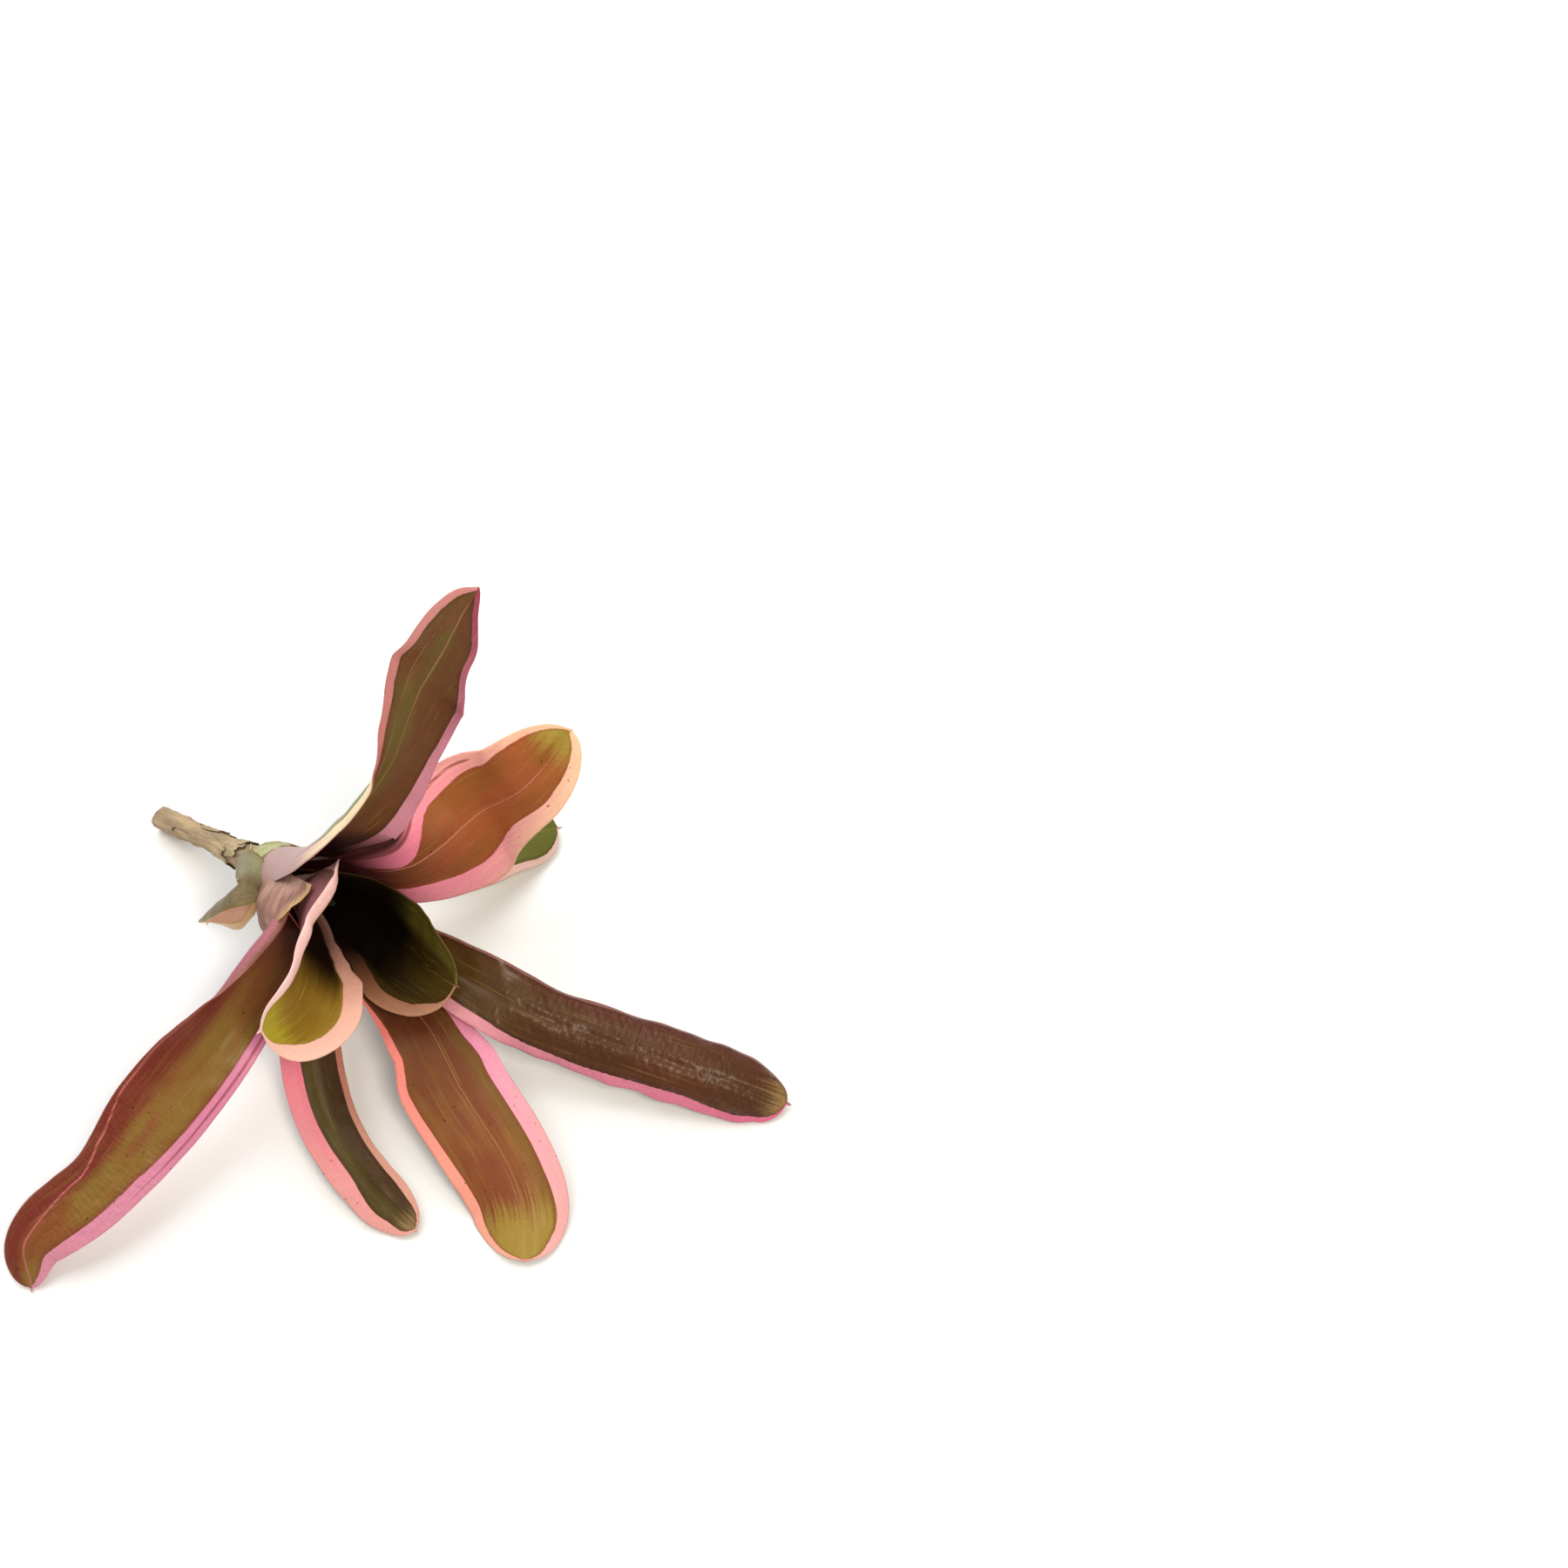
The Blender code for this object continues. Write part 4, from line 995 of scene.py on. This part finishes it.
RUNNER, RING_ANGLE, RING_T, RING_SHARE = ringed_cylinder("cut_runner", 56, 110, (0.05, 0.12, 0.2, 0.25, 0.2))
print("vertices of the cylinder:", len(RUNNER.data.vertices))

# %% [markdown]
# ## The runner's shape
# Along the line the radius follows a table, with a swelling and a groove at each node. The end is slanted by sliding
# the last rings along the line, and its cut face is a little hollow, with a ring where the rind ends.

# %% The runner
RUNNER_START, RUNNER_END = CROWN - 3.95 * AXIS, np.array((-43.5, 34.5, 4.5))
RUNNER_AXIS = unit(RUNNER_END - RUNNER_START)
RUNNER_X = unit(np.cross(RUNNER_AXIS, (0.0, 0.0, 1.0)))
RUNNER_Y = np.cross(RUNNER_AXIS, RUNNER_X)
RUNNER_LINE = (RUNNER_START, RUNNER_AXIS, RUNNER_X, RUNNER_Y)
RUNNER_LENGTH = float(np.linalg.norm(RUNNER_END - RUNNER_START))
RUNNER_RADII = [(0.0, 4.9), (0.12, 4.3), (0.3, 3.7), (0.5, 3.3), (0.62, 3.5), (0.8, 3.7), (1.0, 3.75)]
RUNNER_NODES = (0.2, 0.38, 0.58, 0.76)          # shares of the length
SLANT, HOLLOW, RIND_GROOVE, RIND_AT = 0.55, 0.25, 0.2, 0.8


def bump_at(t, place, width):
    return np.exp(-((t - place) / width) ** 2)


def runner_radius(t, angle):
    radius = ease(t, RUNNER_RADII)[:, 0]
    for node in RUNNER_NODES:
        radius = radius + 0.3 * bump_at(t, node, 0.025) - 0.12 * bump_at(t, node + 0.045, 0.015)
    folds = 0.10 * np.sin(7 * angle + 2.0) + 0.08 * np.sin(13 * angle + 14 * t)
    return radius + folds + 0.12 * waves(angle * 3, t * 30, 5, 3.0)


def shape_runner(ob, angle, t, share):
    radius = runner_radius(t, angle)
    cap = share < 0.999
    slide = SLANT * radius * share * np.sin(angle) * smooth((t - 0.9) / 0.1)
    dish = -HOLLOW * (1 - share) ** 2 - RIND_GROOVE * (np.abs(share - RIND_AT) < 0.04)
    along = t * RUNNER_LENGTH + slide + np.where(cap & (t > 0.5), dish, 0.0)
    for material in (RUNNER_SKIN, CUT_WOOD):
        ob.data.materials.append(material)
    for face in ob.data.polygons:
        face.material_index = int(abs(face.normal.z) > 0.9)
    move_points(ob, wrapped(RUNNER_LINE, along, radius * share, angle))
    write_attribute(ob, "leaf_place", "FLOAT_VECTOR", triple(angle * 3.8, along, np.where(cap, 0.5, t)))
    finish(ob, "cut_stolon")


shape_runner(RUNNER, RING_ANGLE, RING_T, RING_SHARE)
print("runner length in mm:", round(RUNNER_LENGTH, 1), "faces:", len(RUNNER.data.polygons))

# %% [markdown]
# ## Torn scales
# Three papery scales clasp the runner, each torn off to a ragged rim that points towards the plant's foot. A grid
# primitive is laid round the runner for each, its columns run round the wrap, and Solidify gives it the thickness of
# paper. The rim is ragged because each column ends where a sum of waves says.

# %% Sheets wrapped round a line, and the three scales
SCALES = [("dry_bract_1", 31.0, 13.0, 20.0, 95.0), ("dry_bract_2", 20.5, 12.5, 150.0, 110.0),
          ("dry_bract_3", 11.5, 9.5, 330.0, 120.0)]     # node, mm from the crown, length, azimuth, wrap in degrees
SCALE_THICK, SCALE_SEED = 0.3, 30


def steps(first, last, rows, down=False):
    """Even steps as a column, down the rows of a grid, or as a row, along its columns."""
    line = np.linspace(first, last, rows)
    return line[:, None] if down else line[None, :]


def wrapped_sheet(name, points, place, material, node, thickness, ring=False):
    """A grid laid over a field of points; a ring meets itself, and its seam is joined before it gets its wall."""
    ob, pick = grid_piece(name, points.shape[0] - 1, points.shape[1] - 1)
    move_points(ob, points[pick])
    write_attribute(ob, "leaf_place", "FLOAT_VECTOR", place[pick])
    ob.data.materials.append(material)
    if ring:
        bpy.ops.object.mode_set(mode="EDIT")
        bpy.ops.mesh.select_all(action="SELECT")
        bpy.ops.mesh.remove_doubles(threshold=1e-6)
        bpy.ops.object.mode_set(mode="OBJECT")
    wall = ob.modifiers.new("thickness", "SOLIDIFY")
    wall.thickness, wall.offset = thickness * MM, 0.0
    finish(ob, node)
    return ob


def make_scale(name, foot, length, azimuth, wrap, seed):
    u, v = steps(0, 1, 41, down=True), steps(-1, 1, 97)
    torn = 0.10 * waves(v * 14, 0.0, seed, 2.2, 9) + 0.05 * waves(v * 14, 0.0, seed + 9, 0.7, 9)
    ragged = 1.0 - 0.22 * (0.5 + 0.5 * np.cos(5.0 * math.pi * v + foot)) - 0.25 * v * v + torn
    d = foot - length * u * ragged
    angle = np.radians(azimuth + wrap * v * (1.0 - 0.15 * u))
    body = ease(np.clip(d / RUNNER_LENGTH, 0, 1).ravel(), RUNNER_RADII)[:, 0].reshape(d.shape)
    flutter = 0.18 * u * waves(v * 12 * np.ones_like(u), d, seed + 3, 4.0, 7)
    radius = body + 0.3 + 0.45 * u ** 1.6 + flutter + 0.12 * np.sin(11 * angle)
    return wrapped_sheet(name + "_fine", wrapped(RUNNER_LINE, d, radius, angle),
                         triple(angle * 4.0, d + seed * 20.0, u), SCALE_SKIN, name, SCALE_THICK)


SCALE_PIECES = [make_scale(*row, seed=SCALE_SEED + k) for k, row in enumerate(SCALES)]
print("scale faces:", [len(ob.data.polygons) for ob in SCALE_PIECES])

# %% [markdown]
# ## The collar
# Above the scales a fibrous collar of old leaf bases covers the foot of the rosette. It is one sheet all the way
# round, with fine rings, a few folds and an uneven upper rim. Its two ends meet, so its patterns run there and back
# again by `turn`, and the seam is joined.

# %% The collar
COLLAR_FROM, COLLAR_TO, COLLAR_THICK = -3.6, 8.0, 0.5   # mm, the first two along the axis
COLLAR_RADII = [(-3.6, 4.6), (-2.0, 6.0), (0.0, 7.5), (3.0, 8.6), (6.0, 9.1), (8.0, 9.0)]


def make_collar():
    s, angle = steps(COLLAR_FROM, COLLAR_TO, 61, down=True), np.radians(steps(0, 360, 145))
    up = s - COLLAR_FROM
    turn = np.abs(np.sin(angle / 2))
    rings = 0.08 * np.sin(s * 5.2 + 0.8 * turn * waves(angle * 5, 0.0, 3, 6.0)) * smooth((s + 2.5) / 4.0)
    folds = 0.22 * np.sin(5 * angle) * smooth(up / 5.0) + 0.1 * np.sin(17 * angle)
    rim = 0.7 * turn * waves(angle * 6, 0.0, 8, 3.0, 9) * smooth((s - 4.0) / 4.0)
    points = wrapped(ROSETTE, s + rim, ease(s.ravel(), COLLAR_RADII) + rings + folds, angle)
    place = triple(s, 25.0 * turn, up / (COLLAR_TO - COLLAR_FROM))
    return wrapped_sheet("collar_of_old_bases", points, place, COLLAR_SKIN, "crown_stem", COLLAR_THICK,
                         ring=True)


COLLAR = make_collar()
print("collar faces:", len(COLLAR.data.polygons))

# %% [markdown]
# ## The old sheath
# A brown sheath that has lost its blade lies between the lowest green leaf and the tall one. It follows the tube of
# sheaths, stands off a little where it has come loose, and its torn rim falls away on one side. Its fibres run
# aslant, which its place numbers say.

# %% The old sheath
SHEATH_RIM = [(14, 38.6), (20, 39), (36, 38.8), (43, 38.2), (48, 37.4), (62, 35), (70, 32), (74, 29.3),
              (84, 25.5), (97, 21.5)]           # degrees round the axis, mm along it
SHEATH_FOOT, SHEATH_ORDER, SHEATH_THICK = 7.0, 3, 0.3   # mm along the axis, place in order, mm


def make_old_sheath():
    u, azimuth = steps(0, 1, 71, down=True), steps(SHEATH_RIM[0][0], SHEATH_RIM[-1][0], 81)
    rim = ease(azimuth[0], SHEATH_RIM)[:, 0][None, :] + 0.2 * waves(azimuth / 4, 0.0, 12, 4.0, 7)
    s = SHEATH_FOOT + (rim - SHEATH_FOOT) * u
    tube = np.minimum(tube_radius(s, SHEATH_ORDER) - 0.7, 12.7 + 0.16 * (s - 20.0))     # it opens less, higher up
    loose = 6.0 * smooth((azimuth - 22.0) / 38.0) * smooth((s - 9.0) / 16.0)
    folds = 0.28 * u * waves(azimuth / 4, s * 0.1, 14, 3.5, 7)
    angle = np.radians(azimuth)
    place = triple(s * 0.9 - angle * 9.5, angle * 12.0 + s * 0.6, u)
    return wrapped_sheet("old_sheath", wrapped(ROSETTE, s, tube + loose + folds, angle), place, SHEATH_SKIN,
                         None, SHEATH_THICK)


OLD_SHEATH = make_old_sheath()
print("sheath faces:", len(OLD_SHEATH.data.polygons))

# %% [markdown]
# ## The heart leaf
# Deep in the cup the youngest leaf is still rolled up like a scroll. Its section is a spiral of one and a half turns
# that tightens and shrinks towards the tip. Its colour is painted shade, nearly black as it lies down there, over
# the same fibres as the dry pieces.

# %% The rolled heart leaf
HEART_FROM, HEART_TO, HEART_TURNS, HEART_THICK = 16.4, 35.5, 1.5, 0.45    # mm along the axis, turns, mm


def make_heart_leaf():
    u, w = steps(0, 1, 61, down=True), steps(0, 1, 73)
    s = HEART_FROM + (HEART_TO - HEART_FROM) * u
    size = 1.9 + 1.6 * np.sin(math.pi * np.minimum(1.0, u * 1.1) * 0.6) - 2.9 * u ** 3
    angle = 2 * math.pi * HEART_TURNS * w + 0.6
    radius = size * (1.0 - 0.32 * w) + 0.04 * waves(w * 20, s, 60, 6.0)
    points = wrapped(ROSETTE, s - 2.5 * u * np.abs(w - 0.5) * 2, radius, angle)
    return wrapped_sheet("rolled_heart_leaf", points, triple((w - 0.5) * 22, s, u), HEART_PAINTED_SHADE, "heart_leaf",
                         HEART_THICK)


HEART = make_heart_leaf()
print("heart leaf faces:", len(HEART.data.polygons))

# %% [markdown]
# ## Floor and light
# The cutting lies on a plain pale floor. A large, nearly white light from behind fills the shadows. A smaller and
# warmer one from the front right gives the leaves their gleam, and an even grey-white world keeps the rest soft.

# %% Floor and lights
FLOOR_SIZE, FLOOR_HEIGHT = 6.0, -0.0004         # m, a hair below the plant so that nothing flickers
PAPER, PAPER_ROUGHNESS = (0.92, 0.92, 0.91, 1.0), 0.9
WORLD, WORLD_STRENGTH = (1.0, 1.0, 1.0, 1.0), 0.42
LIGHTS = [("window", (0.5, -0.6, 1.25), 0.36, 9.0, (1.0, 0.9, 0.77)),
          ("fill", (-0.4, 0.8, 1.5), 1.8, 29.0, (0.96, 0.985, 1.0))]     # name, place and size in m, watts, colour

start_fresh()
bpy.ops.mesh.primitive_plane_add(size=FLOOR_SIZE, location=(0, 0, FLOOR_HEIGHT))
floor = bpy.context.object
floor.name = "floor"
paper = bpy.data.materials.new("pale_floor")
paper.use_nodes = True
paper.node_tree.nodes["Principled BSDF"].inputs["Base Color"].default_value = PAPER
paper.node_tree.nodes["Principled BSDF"].inputs["Roughness"].default_value = PAPER_ROUGHNESS
floor.data.materials.append(paper)

world = bpy.data.worlds.new("studio")
world.use_nodes = True
world.node_tree.nodes["Background"].inputs["Color"].default_value = WORLD
world.node_tree.nodes["Background"].inputs["Strength"].default_value = WORLD_STRENGTH
bpy.context.scene.world = world

for name, place, size, power, colour in LIGHTS:
    light = bpy.data.lights.new(name, "AREA")
    light.size, light.energy, light.color = size, power, colour
    lamp = bpy.data.objects.new(name, light)
    bpy.context.scene.collection.objects.link(lamp)
    lamp.location = place
    lamp.rotation_mode = "QUATERNION"
    lamp.rotation_quaternion = (-lamp.location).to_track_quat("-Z", "Y")
print("lights:", [row[0] for row in LIGHTS])

# %% [markdown]
# ## Camera
# The plant is seen from above at a steep angle, 58 degrees down, with a lens close to the normal one. The Standard
# view transform keeps the pinks as bright as they are in daylight.

# %% Camera
CAMERA_PLACE, CAMERA_TURN = (0.1130, -0.3059, 0.6391), 32.0     # m, and degrees up from looking straight down
LENS, SENSOR, NEAR, FAR = 51.85, 36.0, 0.01, 20.0       # mm, mm, m, m

camera = bpy.data.objects.new("camera", bpy.data.cameras.new("camera"))
bpy.context.scene.collection.objects.link(camera)
camera.location = CAMERA_PLACE
camera.rotation_euler = (math.radians(CAMERA_TURN), 0.0, 0.0)
camera.data.lens, camera.data.sensor_width = LENS, SENSOR
camera.data.clip_start, camera.data.clip_end = NEAR, FAR
bpy.context.scene.camera = camera
bpy.context.scene.view_settings.view_transform = "Standard"
bpy.context.scene.view_settings.look = "None"
print("camera at", [round(c, 3) for c in camera.location])
